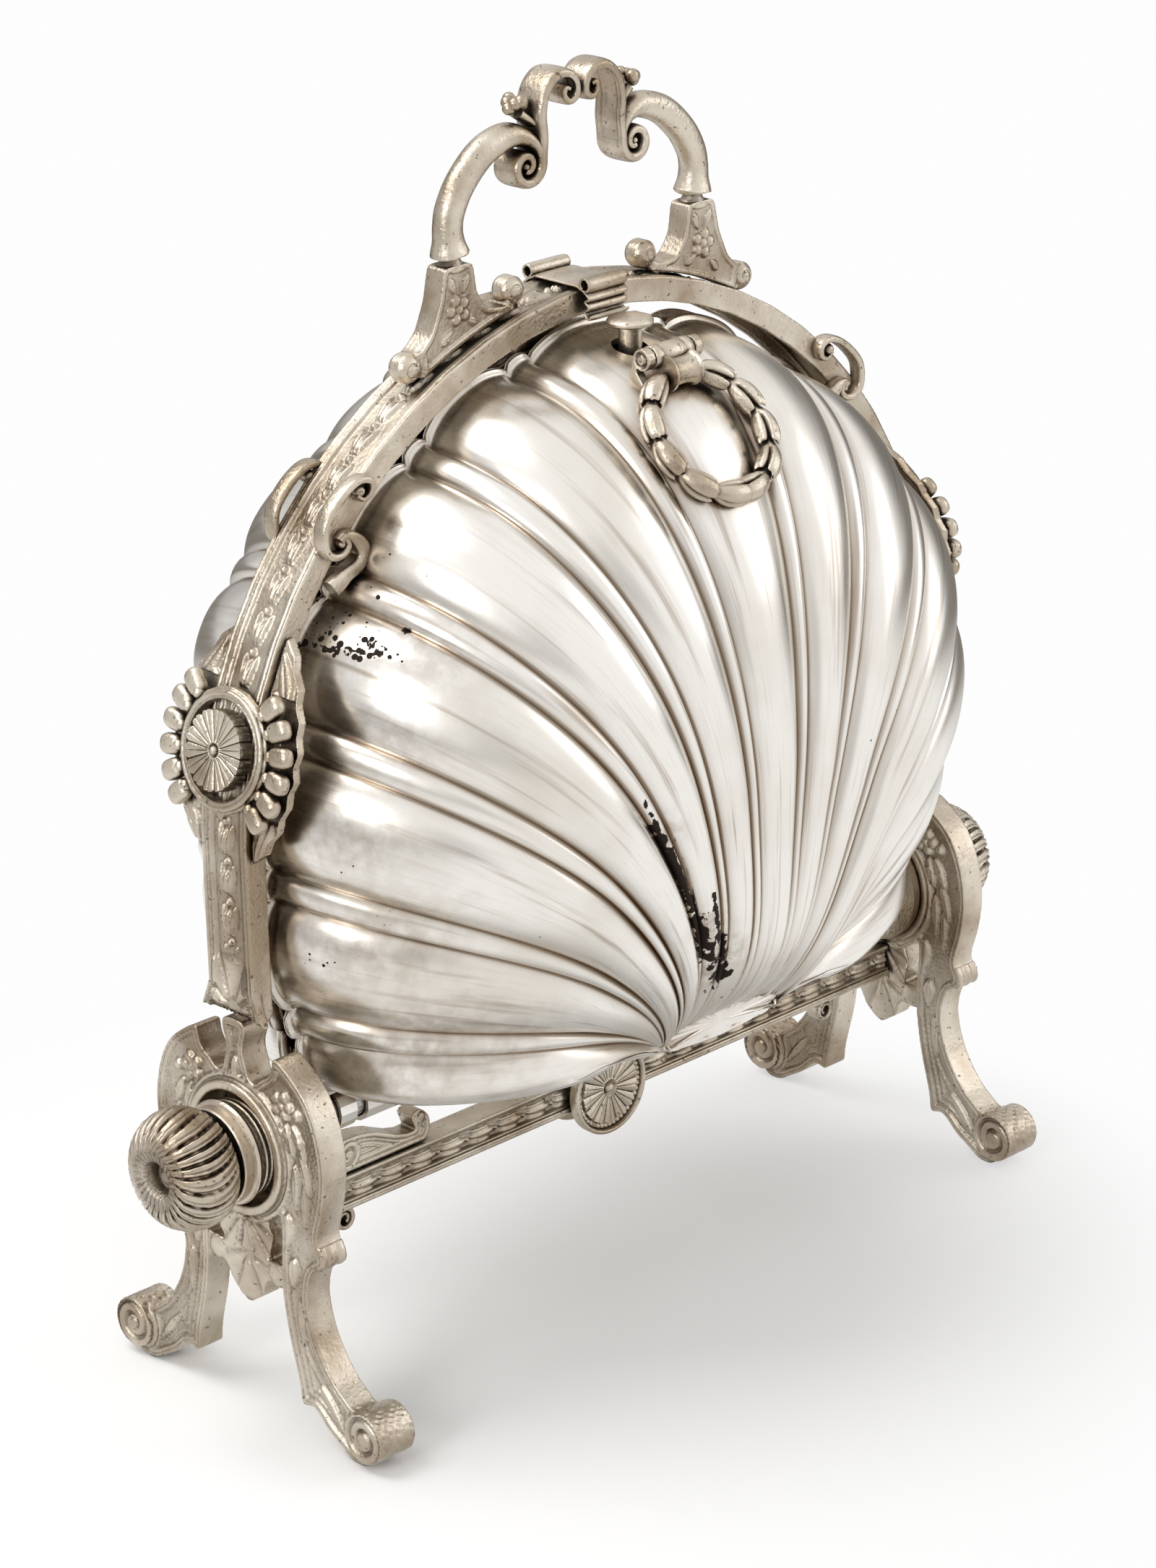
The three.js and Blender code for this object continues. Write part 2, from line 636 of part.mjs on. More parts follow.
// Wreath ring, its pin and lugs
const ringPinOutShare = 0.4440367;
const ringPinY = -(rimPlaneY + ringPinOutShare * bellyDepthTop);
const ringPinStand = 5.1;
const ringPinHeight = crestHeightAt(ringPinY) + ringPinStand;
const ringPinRadius = 1.3;
const ringBarrelRadius = 2.6;
const ringBarrelHalf = 5.6;
const ringLugThickness = 2.2;
const ringLugRadius = 2.4;
const ringRadius = 14.6;
const ringBudRadius = 2.5;
const ringStemRadius = 1.5;
const ringBuds = 11;
const ringBudShares = [0, 1, 0.75];
const ringLeanRun = 20;
const ringLeanShare = 1.100297153;
const ringLean = Math.atan2(ringLeanRun + ringLeanShare * bellyDepthTop, rimRise) / degree;
const ringNeck = 1.7;
const ringNeckHalf = 3.2;
const ringPinHalf = ringBarrelHalf + gap + ringLugThickness;
const ringLugReach = 12;
const ringLugWebShares = [
  [0.2, 0], [0.125, -0.158], [0.125, -0.233], [-0.167, -0.6], [-0.167, -1], [0.375, -1],
];

function wreathRing() {
  const drop = ringRadius + ringBarrelRadius + ringNeck;
  const down = new THREE.Vector3(0, -Math.sin(ringLean * degree), -Math.cos(ringLean * degree));
  const face = new THREE.Vector3(0, -down.z, down.y);
  const middle = new THREE.Vector3(0, ringPinY, ringPinHeight).addScaledVector(down, drop);
  const stepsPerBud = 3;
  const steps = ringBuds * stepsPerBud;
  const rings = Array.from({ length: steps }, (_, i) => {
    const a = 2 * Math.PI * i / steps;
    const out = new THREE.Vector3(Math.sin(a), 0, 0).addScaledVector(down, -Math.cos(a));
    const swell = ringBudShares[i % stepsPerBud];
    const radius = ringStemRadius + (ringBudRadius - ringStemRadius) * swell;
    return Array.from({ length: 6 }, (__, k) => {
      const b = 2 * Math.PI * k / 6;
      return middle.clone().addScaledVector(out, ringRadius + radius * Math.cos(b))
        .addScaledVector(face, radius * Math.sin(b));
    });
  });
  const barrel = rodX(ringBarrelRadius, -ringBarrelHalf, ringBarrelHalf, ringPinY, ringPinHeight, 16);
  const bore = rodX(ringPinRadius + gap, -ringBarrelHalf - overrun, ringBarrelHalf + overrun,
    ringPinY, ringPinHeight, 12);
  const neck = ringNeck + ringBudRadius + ringStemRadius;
  const collar = new THREE.BoxGeometry(2 * ringNeckHalf, 2 * ringBudRadius * 1.1, neck);
  collar.translate(0, 0, -ringPinRadius - gap - neck / 2).rotateX(-ringLean * degree);
  collar.translate(0, ringPinY, ringPinHeight);
  return cut(join(loft(rings, true), barrel, solid(collar)), bore);
}

function ringLug(side) {
  const middleX = side * (ringBarrelHalf + gap + ringLugThickness / 2);
  const eye = rodX(ringLugRadius, middleX - ringLugThickness / 2, middleX + ringLugThickness / 2,
    ringPinY, ringPinHeight, 14);
  const web = plateYZ(ringLugWebShares.map(([y, z]) => p2(ringPinY + y * ringLugReach, ringPinHeight + z * ringLugReach)),
    ringLugThickness, middleX);
  return join(eye, web);
}

function ringMount() {
  const lugs = join(ringLug(1), ringLug(-1), rodX(ringPinRadius, -ringPinHalf, ringPinHalf,
    ringPinY, ringPinHeight, 12));
  return cut(lugs, bowlFilled(gap));
}

// Shell bowl with its flange
function shellBowl() {
  const rings = [
    ...outerShares.map((s) => bowlRing(s, 0)),
    rimRing(-rimPlaneY, 0),
    rimRing(-rimPlaneY, flangeWidth),
    rimRing(-flangeBackY, flangeWidth),
    rimRing(-flangeBackY, -shellWall),
    ...innerShares.map((s) => bowlRing(s, -shellWall)),
  ];
  const hole = rodZ(buttonHoleRadius, collarHeight - overrun, buttonHeadHeight, 0, buttonY);
  return cut(loft(rings), hole);
}

// Hinge leaf under each shell, with its knuckles round the axle
const knuckleEndInset = 20.5;
const knucklesPerSide = 3;
const knucklePitch = (rimHalfWidth - knuckleEndInset) / knucklesPerSide;
const knuckleSpacing = 2.6;
const knuckleLength = knucklePitch - knuckleSpacing;
const knucklePlaceShares = [-2.5, -0.5, 1.5];
const leafHalfLength = 70.7;
const leafBackY = 4.3;
const leafFrontY = 9;
const leafThickness = 1.1;
const leafNotchY = 5.4;

function hingeLeaf() {
  const low = axleHeight + knuckleRadius - leafThickness;
  const plate = box(-leafHalfLength, leafHalfLength, -leafFrontY, -leafBackY, low, low + leafThickness * 2.5);
  const bodies = knucklePlaceShares.map((share) => {
    const x = share * knucklePitch;
    const barrel = rodX(knuckleRadius, x - knuckleLength / 2, x + knuckleLength / 2, 0, axleHeight, 14);
    const web = box(x - knuckleLength / 2, x + knuckleLength / 2, -leafBackY - leafThickness, -leafThickness, low,
      axleHeight + knuckleRadius);
    return join(barrel, web);
  });
  const bore = rodX(axleRadius + runningGap, -supportOuterX, supportOuterX, 0, axleHeight, 16);
  const passHalf = rosetteRadius + 1;
  const pass = box(-passHalf, passHalf, -leafFrontY - overrun, -leafNotchY, low - overrun, low + leafThickness * 4);
  return cut(join(plate, ...bodies), bore, pass, bowlFilled(gap));
}

// Pierced inner grille, hinged on the same axle
const grilleThickness = 1;
const grilleBackY = 0.9;
const grilleFootRise = 7.1;
const grilleFootHeight = axleHeight + grilleFootRise;
const grilleEdge = 1.2;
const grilleKnuckleLength = 4.6;
const grilleKnuckleNearInset = 16.5;
const grilleKnuckleFarInset = 9.5;
const grilleKnuckleNearX = rimHalfWidth - grilleKnuckleNearInset;
const grilleKnuckleFarX = rimHalfWidth - grilleKnuckleFarInset;
const grilleCentreRise = 11.5;
const grilleCentreHeight = rimCentreHeight + grilleCentreRise;
const grilleReach = Math.min(rimHalfWidth, rimRise, archHalfSpan - archDepth - archClearance);
const grilleRingShares = [0.2378378378, 0.5945945946];
const grilleRingCounts = [5, 9];
const grilleWebHeight = 9;
const grilleSlotLengthShare = 0.1297297297;
const grilleSlotWidthShare = 0.0756756757;
const grilleSlotHalfLength = grilleReach * grilleSlotLengthShare;
const grilleSlotHalfWidth = grilleReach * grilleSlotWidthShare;

function innerGrille() {
  const outline = [];
  for (let a = -180; a < 180; a += 10) {
    const [rx, rz] = rimPoint(a);
    const normal = bowlNormal(a, 1).setY(0).normalize();
    const [x, z] = insideArch(rx + normal.x * grilleEdge, rz + normal.z * grilleEdge);
    outline.push(p2(x, Math.max(z, grilleFootHeight)));
  }
  const holes = [];
  grilleRingShares.forEach((share, ring) => {
    const radius = grilleReach * share;
    for (let i = 0; i < grilleRingCounts[ring]; i++) {
      const a = 2 * Math.PI * (i + ring / 2) / grilleRingCounts[ring];
      const middle = p2(radius * Math.sin(a), grilleCentreHeight + radius * Math.cos(a));
      if (middle.y < grilleFootHeight + 2 * grilleSlotHalfLength) continue;
      holes.push(Array.from({ length: 6 }, (_, k) => {
        const b = -2 * Math.PI * k / 6;
        const along = grilleSlotHalfLength * Math.cos(b);
        const across = grilleSlotHalfWidth * Math.sin(b) * (1 + 0.35 * Math.cos(b));
        return p2(middle.x + along * Math.sin(a) + across * Math.cos(a),
          middle.y + along * Math.cos(a) - across * Math.sin(a));
      }));
    }
  });
  const middleY = -(grilleBackY + grilleThickness / 2);
  const plate = plateXZ(outline, grilleThickness, middleY, holes);
  const knuckles = [-grilleKnuckleNearX, grilleKnuckleFarX].map((x) => {
    const barrel = rodX(knuckleRadius, x - grilleKnuckleLength / 2, x + grilleKnuckleLength / 2,
      0, axleHeight, 16);
    const web = box(x - grilleKnuckleLength / 2, x + grilleKnuckleLength / 2, middleY - grilleThickness / 2,
      middleY + grilleThickness / 2, axleHeight + axleRadius + 2 * runningGap, grilleFootHeight + grilleWebHeight);
    return join(barrel, web);
  });
  const bore = rodX(axleRadius + runningGap, -supportOuterX, supportOuterX, 0, axleHeight, 20);
  return cut(join(plate, ...knuckles), bore);
}

// Bosses on the posts: a recessed collar with a scalloped wing to each side, and a rosette disc in it
const bossRise = 18.7;
const bossHeight = archSpringHeight + bossRise;
const bossCollarRadius = 13.2;
const bossRecessRadius = 10.6;
const bossCollarEdge = 1;
const bossStand = 1.8;
const bossWrap = 3.4;
const wingHeight = 46;
const wingReach = 11;
const wingScallops = 8;
const wingScallopDepth = 0.9;
const wingInset = 1.3;
const wingThickness = 2.2;
const discRadius = 8.8;
const discThickness = 1;
const discPetals = 10;
const discPetalDepth = 0.6;

// Turns a piece made about the X axis square to the arch at the boss, and sets it there
function onPost(body, side) {
  const rise = bossCollarRadius;
  const lean = Math.atan2(archOuterAt(bossHeight - rise, -gap) - archOuterAt(bossHeight + rise, -gap), 2 * rise);
  return body.rotate([0, -side * lean / degree, 0]).translate([side * archOuterAt(bossHeight, -gap), 0, bossHeight]);
}

function bossCollar(side) {
  const collar = turnedX([
    [bossRecessRadius, -bossWrap], [bossCollarRadius, -bossWrap], [bossCollarRadius, bossStand - bossCollarEdge],
    [bossCollarRadius - bossCollarEdge, bossStand], [bossRecessRadius, bossStand], [bossRecessRadius, -bossWrap],
  ].map(([r, x]) => [r, side * x]), 20, 0, 0);
  const edge = archWidth / 2 + gap;
  const reachAt = (t) => wingReach * Math.sin(Math.PI * t) ** 0.8 +
    wingScallopDepth * Math.abs(Math.sin(Math.PI * wingScallops * t));
  const wing = (turn) => {
    const dots = [];
    const steps = wingScallops * 2;
    for (let i = 0; i <= steps; i++) {
      const t = i / steps;
      dots.push(p2(turn * (edge + reachAt(t)), bossHeight + wingHeight * (t - 0.5)));
    }
    dots.push(p2(turn * edge, bossHeight + wingHeight / 2), p2(turn * edge, bossHeight - wingHeight / 2));
    return plateYZ(dots, archHalfSpan, side * archHalfSpan);
  };
  const band = archBand(wingInset, wingInset + wingThickness, 2 * (edge + wingReach + overrun));
  const wings = join(wing(1), wing(-1)).intersect(band);
  return cut(join(onPost(collar, side), wings), plateXZ(archOutline(-gap), 2 * edge, 0));
}

const discProfileShares = [
  [0.5, 0, 0], [0.5, 0.56, 0], [0.94, 0.62, 0.9], [0.86, 0.92, 1], [0.36, 0.84, 0.3], [0.24, 0.86, 0],
  [0.12, 1.1, 0],
];

function bossDisc(side) {
  const steps = discPetals * 2;
  const depth = bossStand + discThickness;
  const disc = loft(discProfileShares.map(([r, x, ripple]) => Array.from({ length: steps }, (_, i) => {
    const a = 2 * Math.PI * i / steps;
    const radius = r * discRadius - (i % 2 ? ripple * discPetalDepth : 0);
    return new THREE.Vector3(side * x * depth, radius * Math.cos(a), radius * Math.sin(a));
  })));
  return onPost(disc, side);
}

// Clasp scrolls on the shoulders of the arch: a curl, an S-bend with a volute, and a leaf under it.
// Stations are [across, up, half width] as shares of the scroll's height
const claspSpanShare = 0.65;
const claspDrop = 2.5;
const claspHeight = 20;
const claspThickness = 3.2;
const claspCurlRadius = 2.1;
const claspVoluteRadius = 3;
const claspVoluteShares = [0.515, -0.51];
const claspShares = [
  [0.02, 0.02, 0.07], [0.13, 0.03, 0.07], [0.27, -0.12, 0.08], [0.33, -0.32, 0.08], [0.37, -0.52, 0.08],
  [0.5, -0.66, 0.08], [0.64, -0.8, 0.085], [0.72, -0.93, 0.07], [0.75, -1.03, 0.045],
];

function claspScroll(sideX, sideY) {
  const x0 = claspSpanShare * archHalfSpan;
  const z0 = archTopAt(x0, 0) - claspDrop;
  const strip = ribbon(claspShares.map((station) => station.map((share) => share * claspHeight)), 2);
  const face = sideY * (archWidth / 2 + gap);
  const front = face + sideY * claspThickness;
  const disc = (radius, x, z) =>
    rodY(radius, Math.min(face, front), Math.max(face, front), sideX * (x0 + x), z0 + z, 10);
  const volute = claspVoluteShares.map((share) => share * claspHeight);
  return join(
    plateXZ(strip.map((p) => p2(sideX * (x0 + p.x), z0 + p.y)), claspThickness, (face + front) / 2),
    disc(claspCurlRadius, 0, 0), disc(claspVoluteRadius, ...volute));
}

// Handle and its pedestal feet: [across, up] as shares of the foot's reach to each side and of its height
const handleFootPlaceShare = 0.3446601942;
const handleFootOuterShare = 0.1300970874;
const handleFootX = archHalfSpan * handleFootPlaceShare;
const handleFootOuterReach = archHalfSpan * handleFootOuterShare;
const handleFootInnerReach = 16;
const handleFootHeight = 17;
const handleFootDepth = 5.6;
const handleFootBallRadius = 3.3;
const handleFootBallOverhang = 0.5;
const handleFootShares = [
  [0.93, 0.16], [0.6, 0.3], [0.4, 0.6], [0.29, 1], [-0.24, 1], [-0.3, 0.58], [-0.48, 0.29], [-0.93, 0.16],
];

function archTopAt(x, inset) {
  const power = (Math.abs(x) / (archHalfSpan - inset)) ** archFullness;
  return archSpringHeight + (archRise - inset) * (1 - power) ** (1 / archFullness);
}
const handleNeckHeight = archTopAt(handleFootX, -gap) + handleFootHeight;

function handleFoot(side) {
  const seat = (x) => archTopAt(x, -gap);
  const left = handleFootX - handleFootInnerReach;
  const right = handleFootX + handleFootOuterReach;
  const dots = [];
  for (let i = 0; i <= 6; i++) {
    const x = left + (right - left) * i / 6;
    dots.push(p2(side * x, seat(x)));
  }
  handleFootShares.forEach(([across, up]) => {
    const x = handleFootX + across * (across > 0 ? handleFootOuterReach : handleFootInnerReach);
    const low = seat(x) + up * handleFootHeight;
    const level = seat(handleFootX) + up * handleFootHeight;
    dots.push(p2(side * x, low + (level - low) * Math.sqrt(up)));
  });
  const ballHalf = handleFootDepth / 2 + handleFootBallOverhang;
  const lean = (x) => Math.hypot(1, (seat(x + gap) - seat(x)) / gap);
  const ball = (x) => rodY(handleFootBallRadius, -ballHalf, ballHalf, side * x,
    seat(x) + handleFootBallRadius * lean(x), 12);
  return join(plateXZ(dots, handleFootDepth, 0), ball(left), ball(right));
}

// Grip: each arm rises from its foot and curls in, and a strap with two lobes joins the curls.
// Stations are [across, up, half width]: shares of its spread across, and of its rise
const gripRise = 33.8;
const gripSpreadShare = 0.952112676;
const gripSpread = handleFootX * gripSpreadShare;
const gripStrapDepth = 8;
const gripCurlRadius = 4.1;
const gripCurlWidth = 5.6;
const gripArmFlatness = 0.94;
const gripCurlShares = [-0.585, 0.49];
const gripArmShares = [
  [0, 0, 0.085], [0.009, 0.073, 0.085], [0.012, 0.133, 0.097], [-0.012, 0.303, 0.1], [-0.109, 0.473, 0.1],
  [-0.291, 0.64, 0.098], [-0.49, 0.685, 0.092], [-0.655, 0.585, 0.085], [-0.69, 0.46, 0.07],
];
const gripStrapShares = [
  [0.38, 0.44, 0.067], [0.338, 0.59, 0.08], [0.325, 0.77, 0.075], [0.265, 0.925, 0.068], [0.145, 1, 0.06],
  [0.04, 0.985, 0.055], [0, 0.965, 0.052],
];

function handleGrip() {
  const foot = handleNeckHeight + gap;
  const steps = 13;
  const half = (side) => {
    const curve = new THREE.CatmullRomCurve3(gripArmShares.map(([x, z, r]) =>
      new THREE.Vector3(side * (handleFootX + x * gripSpread), r * gripRise, foot + z * gripRise)), false, 'centripetal');
    const rings = Array.from({ length: steps + 1 }, (_, i) => {
      const p = curve.getPoint(i / steps);
      const t = curve.getTangent(i / steps);
      const length = Math.hypot(t.x, t.z);
      return Array.from({ length: 8 }, (__, k) => {
        const b = 2 * Math.PI * k / 8;
        const across = p.y * gripArmFlatness * Math.cos(b);
        return new THREE.Vector3(p.x - t.z / length * across, p.y * Math.sin(b), p.z + t.x / length * across);
      });
    });
    const curl = rodY(gripCurlRadius, -gripCurlWidth / 2, gripCurlWidth / 2,
      side * (handleFootX + gripCurlShares[0] * gripSpread), foot + gripCurlShares[1] * gripRise, 14);
    return join(loft(rings), curl);
  };
  const line = gripStrapShares.map(([x, z, w]) => [x * gripSpread, foot + z * gripRise, w * gripRise]);
  const mirrored = line.slice(0, -1).reverse().map(([x, z, w]) => [-x, z, w]);
  const strap = plateXZ(ribbon(line.concat(mirrored), 2), gripStrapDepth, 0);
  return join(half(1), half(-1), strap);
}

// Latch saddle over the top of the arch: a sheet with both edges rolled, and a spring clip to each shell
const saddleHalfLength = 5.8;
const saddleThickness = 1;
const saddleRollRadius = 1.4;
const saddleRollBore = 0.7;
const saddleRollLift = 0.4;
const saddleLow = archSpringHeight + archRise + gap;
const clipDrop = 5.9;
const clipThickness = 0.9;
const clipRollRadius = 1.05;
const clipRollBore = 0.5;

function latchSaddle() {
  const rollY = archWidth / 2 + gap + saddleRollRadius;
  const rollZ = saddleLow + saddleRollLift;
  const sheet = box(-saddleHalfLength, saddleHalfLength, -rollY, rollY, saddleLow, saddleLow + saddleThickness);
  const along = (radius, y, reach) => rodX(radius, -reach, reach, y, rollZ, 12);
  const rolls = [rollY, -rollY].map((y) => along(saddleRollRadius, y, saddleHalfLength));
  const bores = [rollY, -rollY].map((y) => along(saddleRollBore, y, saddleHalfLength + overrun));
  return cut(join(sheet, ...rolls), ...bores);
}

function rimClip(side) {
  const high = saddleLow + saddleRollLift - saddleRollRadius - gap;
  const rollY = side * (archWidth / 2 + gap + clipRollRadius);
  const rollZ = high - clipDrop + clipRollRadius;
  const sheet = box(-saddleHalfLength, saddleHalfLength, rollY - clipThickness / 2, rollY + clipThickness / 2,
    rollZ, high);
  const along = (radius, reach) => rodX(radius, -reach, reach, rollY, rollZ, 12);
  return cut(join(sheet, along(clipRollRadius, saddleHalfLength)), along(clipRollBore, saddleHalfLength + overrun));
}

// Assembly
const root = new THREE.Group();

function add(parent, name, body, finish) {
  const mesh = new THREE.Mesh(geometryOf(body), new THREE.MeshStandardMaterial(finish));
  mesh.name = name;
  parent.add(mesh);
}

[['left', -1], ['right', 1]].forEach(([name, side]) => {
  add(root, `${name}_end_support`, endSupport(side), castSilver);
  add(root, `${name}_pivot_drum`, pivotDrum(side), castSilver);
  add(root, `${name}_knob`, gadroonedKnob(side), castSilver);
  add(root, `${name}_boss_collar`, bossCollar(side), castSilver);
  add(root, `${name}_boss_rosette`, bossDisc(side), castSilver);
  add(root, `${name}_stretcher_bracket`, stretcherBracket(side), castSilver);
  add(root, `${name}_handle_foot`, handleFoot(side), castSilver);
  add(root, `front_${name}_clasp`, claspScroll(side, -1), castSilver);
  add(root, `back_${name}_clasp`, claspScroll(side, 1), castSilver);
});
add(root, 'axle_rod', rodX(axleRadius, -axleEndX, axleEndX, 0, axleHeight, 20), steel);
add(root, 'arch_frame', archFrame(), castSilver);
add(root, 'stretcher_bar', stretcherBar(), castSilver);
add(root, 'front_stretcher_rosette', stretcherRosette(-1), castSilver);
add(root, 'back_stretcher_rosette', stretcherRosette(1), castSilver);
add(root, 'carrying_handle', handleGrip(), castSilver);
add(root, 'latch_saddle', latchSaddle(), castSilver);
add(root, 'front_rim_clip', rimClip(-1), castSilver);
add(root, 'back_rim_clip', rimClip(1), castSilver);

// The two shells are alike: the back one is the front one turned half round
[['front', 0], ['back', Math.PI]].forEach(([name, turn]) => {
  const leaf = new THREE.Group();
  leaf.rotation.z = turn;
  root.add(leaf);
  add(leaf, `${name}_shell`, shellBowl(), shellSilver);
  add(leaf, `${name}_hinge_leaf`, hingeLeaf(), castSilver);
  add(leaf, `${name}_grille`, innerGrille(), shellSilver);
  add(leaf, `${name}_button`, pushButton(), castSilver);
  add(leaf, `${name}_button_bridge`, buttonBridge(), steel);
  add(leaf, `${name}_button_spring`, returnSpring(), steel);
  add(leaf, `${name}_ring_mount`, ringMount(), castSilver);
  add(leaf, `${name}_wreath_ring`, wreathRing(), castSilver);
});

export default root;
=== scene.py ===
import math

import bmesh
import bpy
import numpy as np
from mathutils import Matrix, Vector, kdtree


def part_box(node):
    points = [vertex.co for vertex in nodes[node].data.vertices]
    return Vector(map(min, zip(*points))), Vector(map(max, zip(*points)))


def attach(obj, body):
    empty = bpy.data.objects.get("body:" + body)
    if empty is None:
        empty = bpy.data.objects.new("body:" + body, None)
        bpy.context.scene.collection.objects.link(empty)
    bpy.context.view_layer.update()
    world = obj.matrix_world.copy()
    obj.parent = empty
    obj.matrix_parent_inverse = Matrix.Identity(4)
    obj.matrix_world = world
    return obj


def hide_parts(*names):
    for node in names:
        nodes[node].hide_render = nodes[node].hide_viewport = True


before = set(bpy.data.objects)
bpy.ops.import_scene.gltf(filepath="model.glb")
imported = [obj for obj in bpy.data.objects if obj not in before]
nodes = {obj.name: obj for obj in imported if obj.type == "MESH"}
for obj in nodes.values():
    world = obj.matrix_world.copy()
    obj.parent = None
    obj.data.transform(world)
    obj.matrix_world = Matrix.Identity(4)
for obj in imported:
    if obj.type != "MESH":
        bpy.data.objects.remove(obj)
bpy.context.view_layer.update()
mm = 0.001
degree = math.pi / 180
sides = (("left", -1), ("right", 1))
ends = (("front", -1), ("back", 1))


# places worked out from the frame, in millimetres
def boxOf(node):
    low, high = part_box(node)
    return np.array(low) / mm, np.array(high) / mm


def middleOf(node):
    low, high = boxOf(node)
    return (low + high) / 2


axleHeight = middleOf("axle_rod")[2]
archBase = boxOf("arch_frame")[0][2]


# shared mesh tools; points are in millimetres
def placed(name, data):
    thing = bpy.data.objects.new(name, data)
    bpy.context.scene.collection.objects.link(thing)
    return thing


def newObject(name, points, faces, sharpAngle=None):
    mesh = bpy.data.meshes.new(name)
    mesh.from_pydata((np.asarray(points) * mm).tolist(), [], [list(face) for face in faces])
    shaped = bmesh.new()
    shaped.from_mesh(mesh)
    bmesh.ops.recalc_face_normals(shaped, faces=shaped.faces)
    shaped.to_mesh(mesh)
    shaped.free()
    mesh.shade_smooth()
    if sharpAngle is not None:
        mesh.set_sharp_from_angle(angle=sharpAngle * degree)
    return placed(name, mesh)


# a closed skin over a row of closed rings, with a face over each end
def ringStack(rings):
    rows, columns = rings.shape[:2]
    i = np.arange(rows - 1)[:, None] * columns
    j = np.arange(columns)[None, :]
    ahead = (j + 1) % columns
    corners = [i + j, i + ahead, i + columns + ahead, i + columns + j]
    faces = np.stack(corners, -1).reshape(-1, 4).tolist()
    faces.append(list(range(columns))[::-1])
    faces.append(list(range((rows - 1) * columns, rows * columns)))
    return rings.reshape(-1, 3), faces


def circle(steps):
    return np.arange(steps) * 2 * math.pi / steps


# profile is [radius, place along the axis]
def lathe(profile, axis, place, steps=96):
    turn = circle(steps)
    rings = np.zeros((len(profile), steps, 3))
    first, second = [(1, 2), (2, 0), (0, 1)][axis]
    for k, (radius, along) in enumerate(profile):
        rings[k, :, first] = radius * np.cos(turn)
        rings[k, :, second] = radius * np.sin(turn)
        rings[k, :, axis] = along
    points, faces = ringStack(rings)
    return points + np.asarray(place), faces


def joined(parts):
    points, faces, start = [], [], 0
    for partPoints, partFaces in parts:
        points.append(np.asarray(partPoints))
        faces.extend([[start + k for k in face] for face in partFaces])
        start += len(partPoints)
    return np.concatenate(points), faces


# a piece stands for a node, and rides on a body
def dress(piece, node, material=None, body="stand", slot="cast_silver"):
    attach(piece, body)
    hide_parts(node)
    piece.data.materials.clear()
    piece.data.materials.append(material or castSilver)


def evaluated(thing):
    graph = bpy.context.evaluated_depsgraph_get()
    return bpy.data.meshes.new_from_object(thing.evaluated_get(graph))


# a piece made from points and faces
def made(name, points, faces, sharpAngle, node, **finish):
    dress(newObject(name, points, faces, sharpAngle), node, **finish)


# a dense, softened copy of a node's mesh, to carry relief
def denseCopy(node, voxel, soften):
    thing = placed("dense", nodes[node].data.copy())
    remesh = thing.modifiers.new("remesh", "REMESH")
    remesh.mode = "VOXEL"
    remesh.voxel_size = voxel * mm
    smooth = thing.modifiers.new("soften", "SMOOTH")
    smooth.factor = 0.5
    smooth.iterations = soften
    mesh = evaluated(thing)
    bpy.data.objects.remove(thing)
    return mesh


def readPoints(mesh, key):
    values = np.empty(len(mesh.vertices) * 3)
    mesh.vertices.foreach_get(key, values)
    return values.reshape(-1, 3)


def writePoints(mesh, points):
    mesh.vertices.foreach_set("co", (points * mm).ravel())
    mesh.update()


# for each point, which place is the nearest and how far it is; both have two columns
def nearest(places, points):
    tree = kdtree.KDTree(len(places))
    for k, (u, v) in enumerate(places):
        tree.insert((u, v, 0), k)
    tree.balance()
    found = [tree.find((u, v, 0)) for u, v in points]
    return np.array([f[1] for f in found]), np.array([f[2] for f in found])


# evens out the facets of a plate's outline seen along the axis; the faces follow near the edge
def evenOutline(mesh, points, normals, axis, rounds=70, fade=3.0, limit=0.7):
    flat = [k for k in range(3) if k != axis]
    wall = np.abs(normals[:, axis]) < 0.5
    edges = np.empty(len(mesh.edges) * 2, np.int32)
    mesh.edges.foreach_get("vertices", edges)
    edges = edges.reshape(-1, 2)
    first, second = edges[wall[edges].all(1)].T
    count = np.bincount(np.concatenate([first, second]), minlength=len(points))
    held = count > 0
    moved = points[:, flat].copy()
    for _ in range(rounds):
        for k in range(2):
            total = np.bincount(first, moved[second, k], len(points))
            total += np.bincount(second, moved[first, k], len(points))
            moved[held, k] += 0.5 * (total[held] / count[held] - moved[held, k])
    shift = np.clip(moved - points[:, flat], -limit, limit)
    index, away = nearest(points[wall][:, flat], points[:, flat])
    out = points.copy()
    out[:, flat] += shift[wall][index] * peak(away, 0, fade)[:, None]
    return out


# writes a value for every point, such as how hollow it is, for the tarnish
def marked(thing, values, key="hollow"):
    layer = thing.data.attributes.new(key, "FLOAT", "POINT")
    layer.data.foreach_set("value", values)
    return thing


# a piece from a node's own mesh, with relief on it
def carved(name, node, voxel, soften, relief, material, body="stand", shape=None, plane=None, deep=None):
    mesh = denseCopy(node, voxel, soften)
    points, normals = readPoints(mesh, "co") / mm, readPoints(mesh, "normal")
    if plane is not None:
        points = evenOutline(mesh, points, normals, plane)
        writePoints(mesh, points)
        normals = readPoints(mesh, "normal")
    height = relief(points, normals)
    depth = np.clip(-height / 0.8, 0, 1)
    if deep is not None:
        depth = np.maximum(depth, deep(points))
    if shape is not None:
        points = shape(points)
    writePoints(mesh, points + normals * height[:, None])
    mesh.shade_smooth()
    mesh.name = name
    dress(marked(placed(name, mesh), depth), node, material, body)


# relief shapes on a flat face; each returns a height for every point
def step(low, high, values):
    t = np.clip((values - low) / (high - low), 0, 1)
    return t * t * (3 - 2 * t)


def peak(values, middle, width):
    return np.exp(-((values - middle) / width) ** 2)


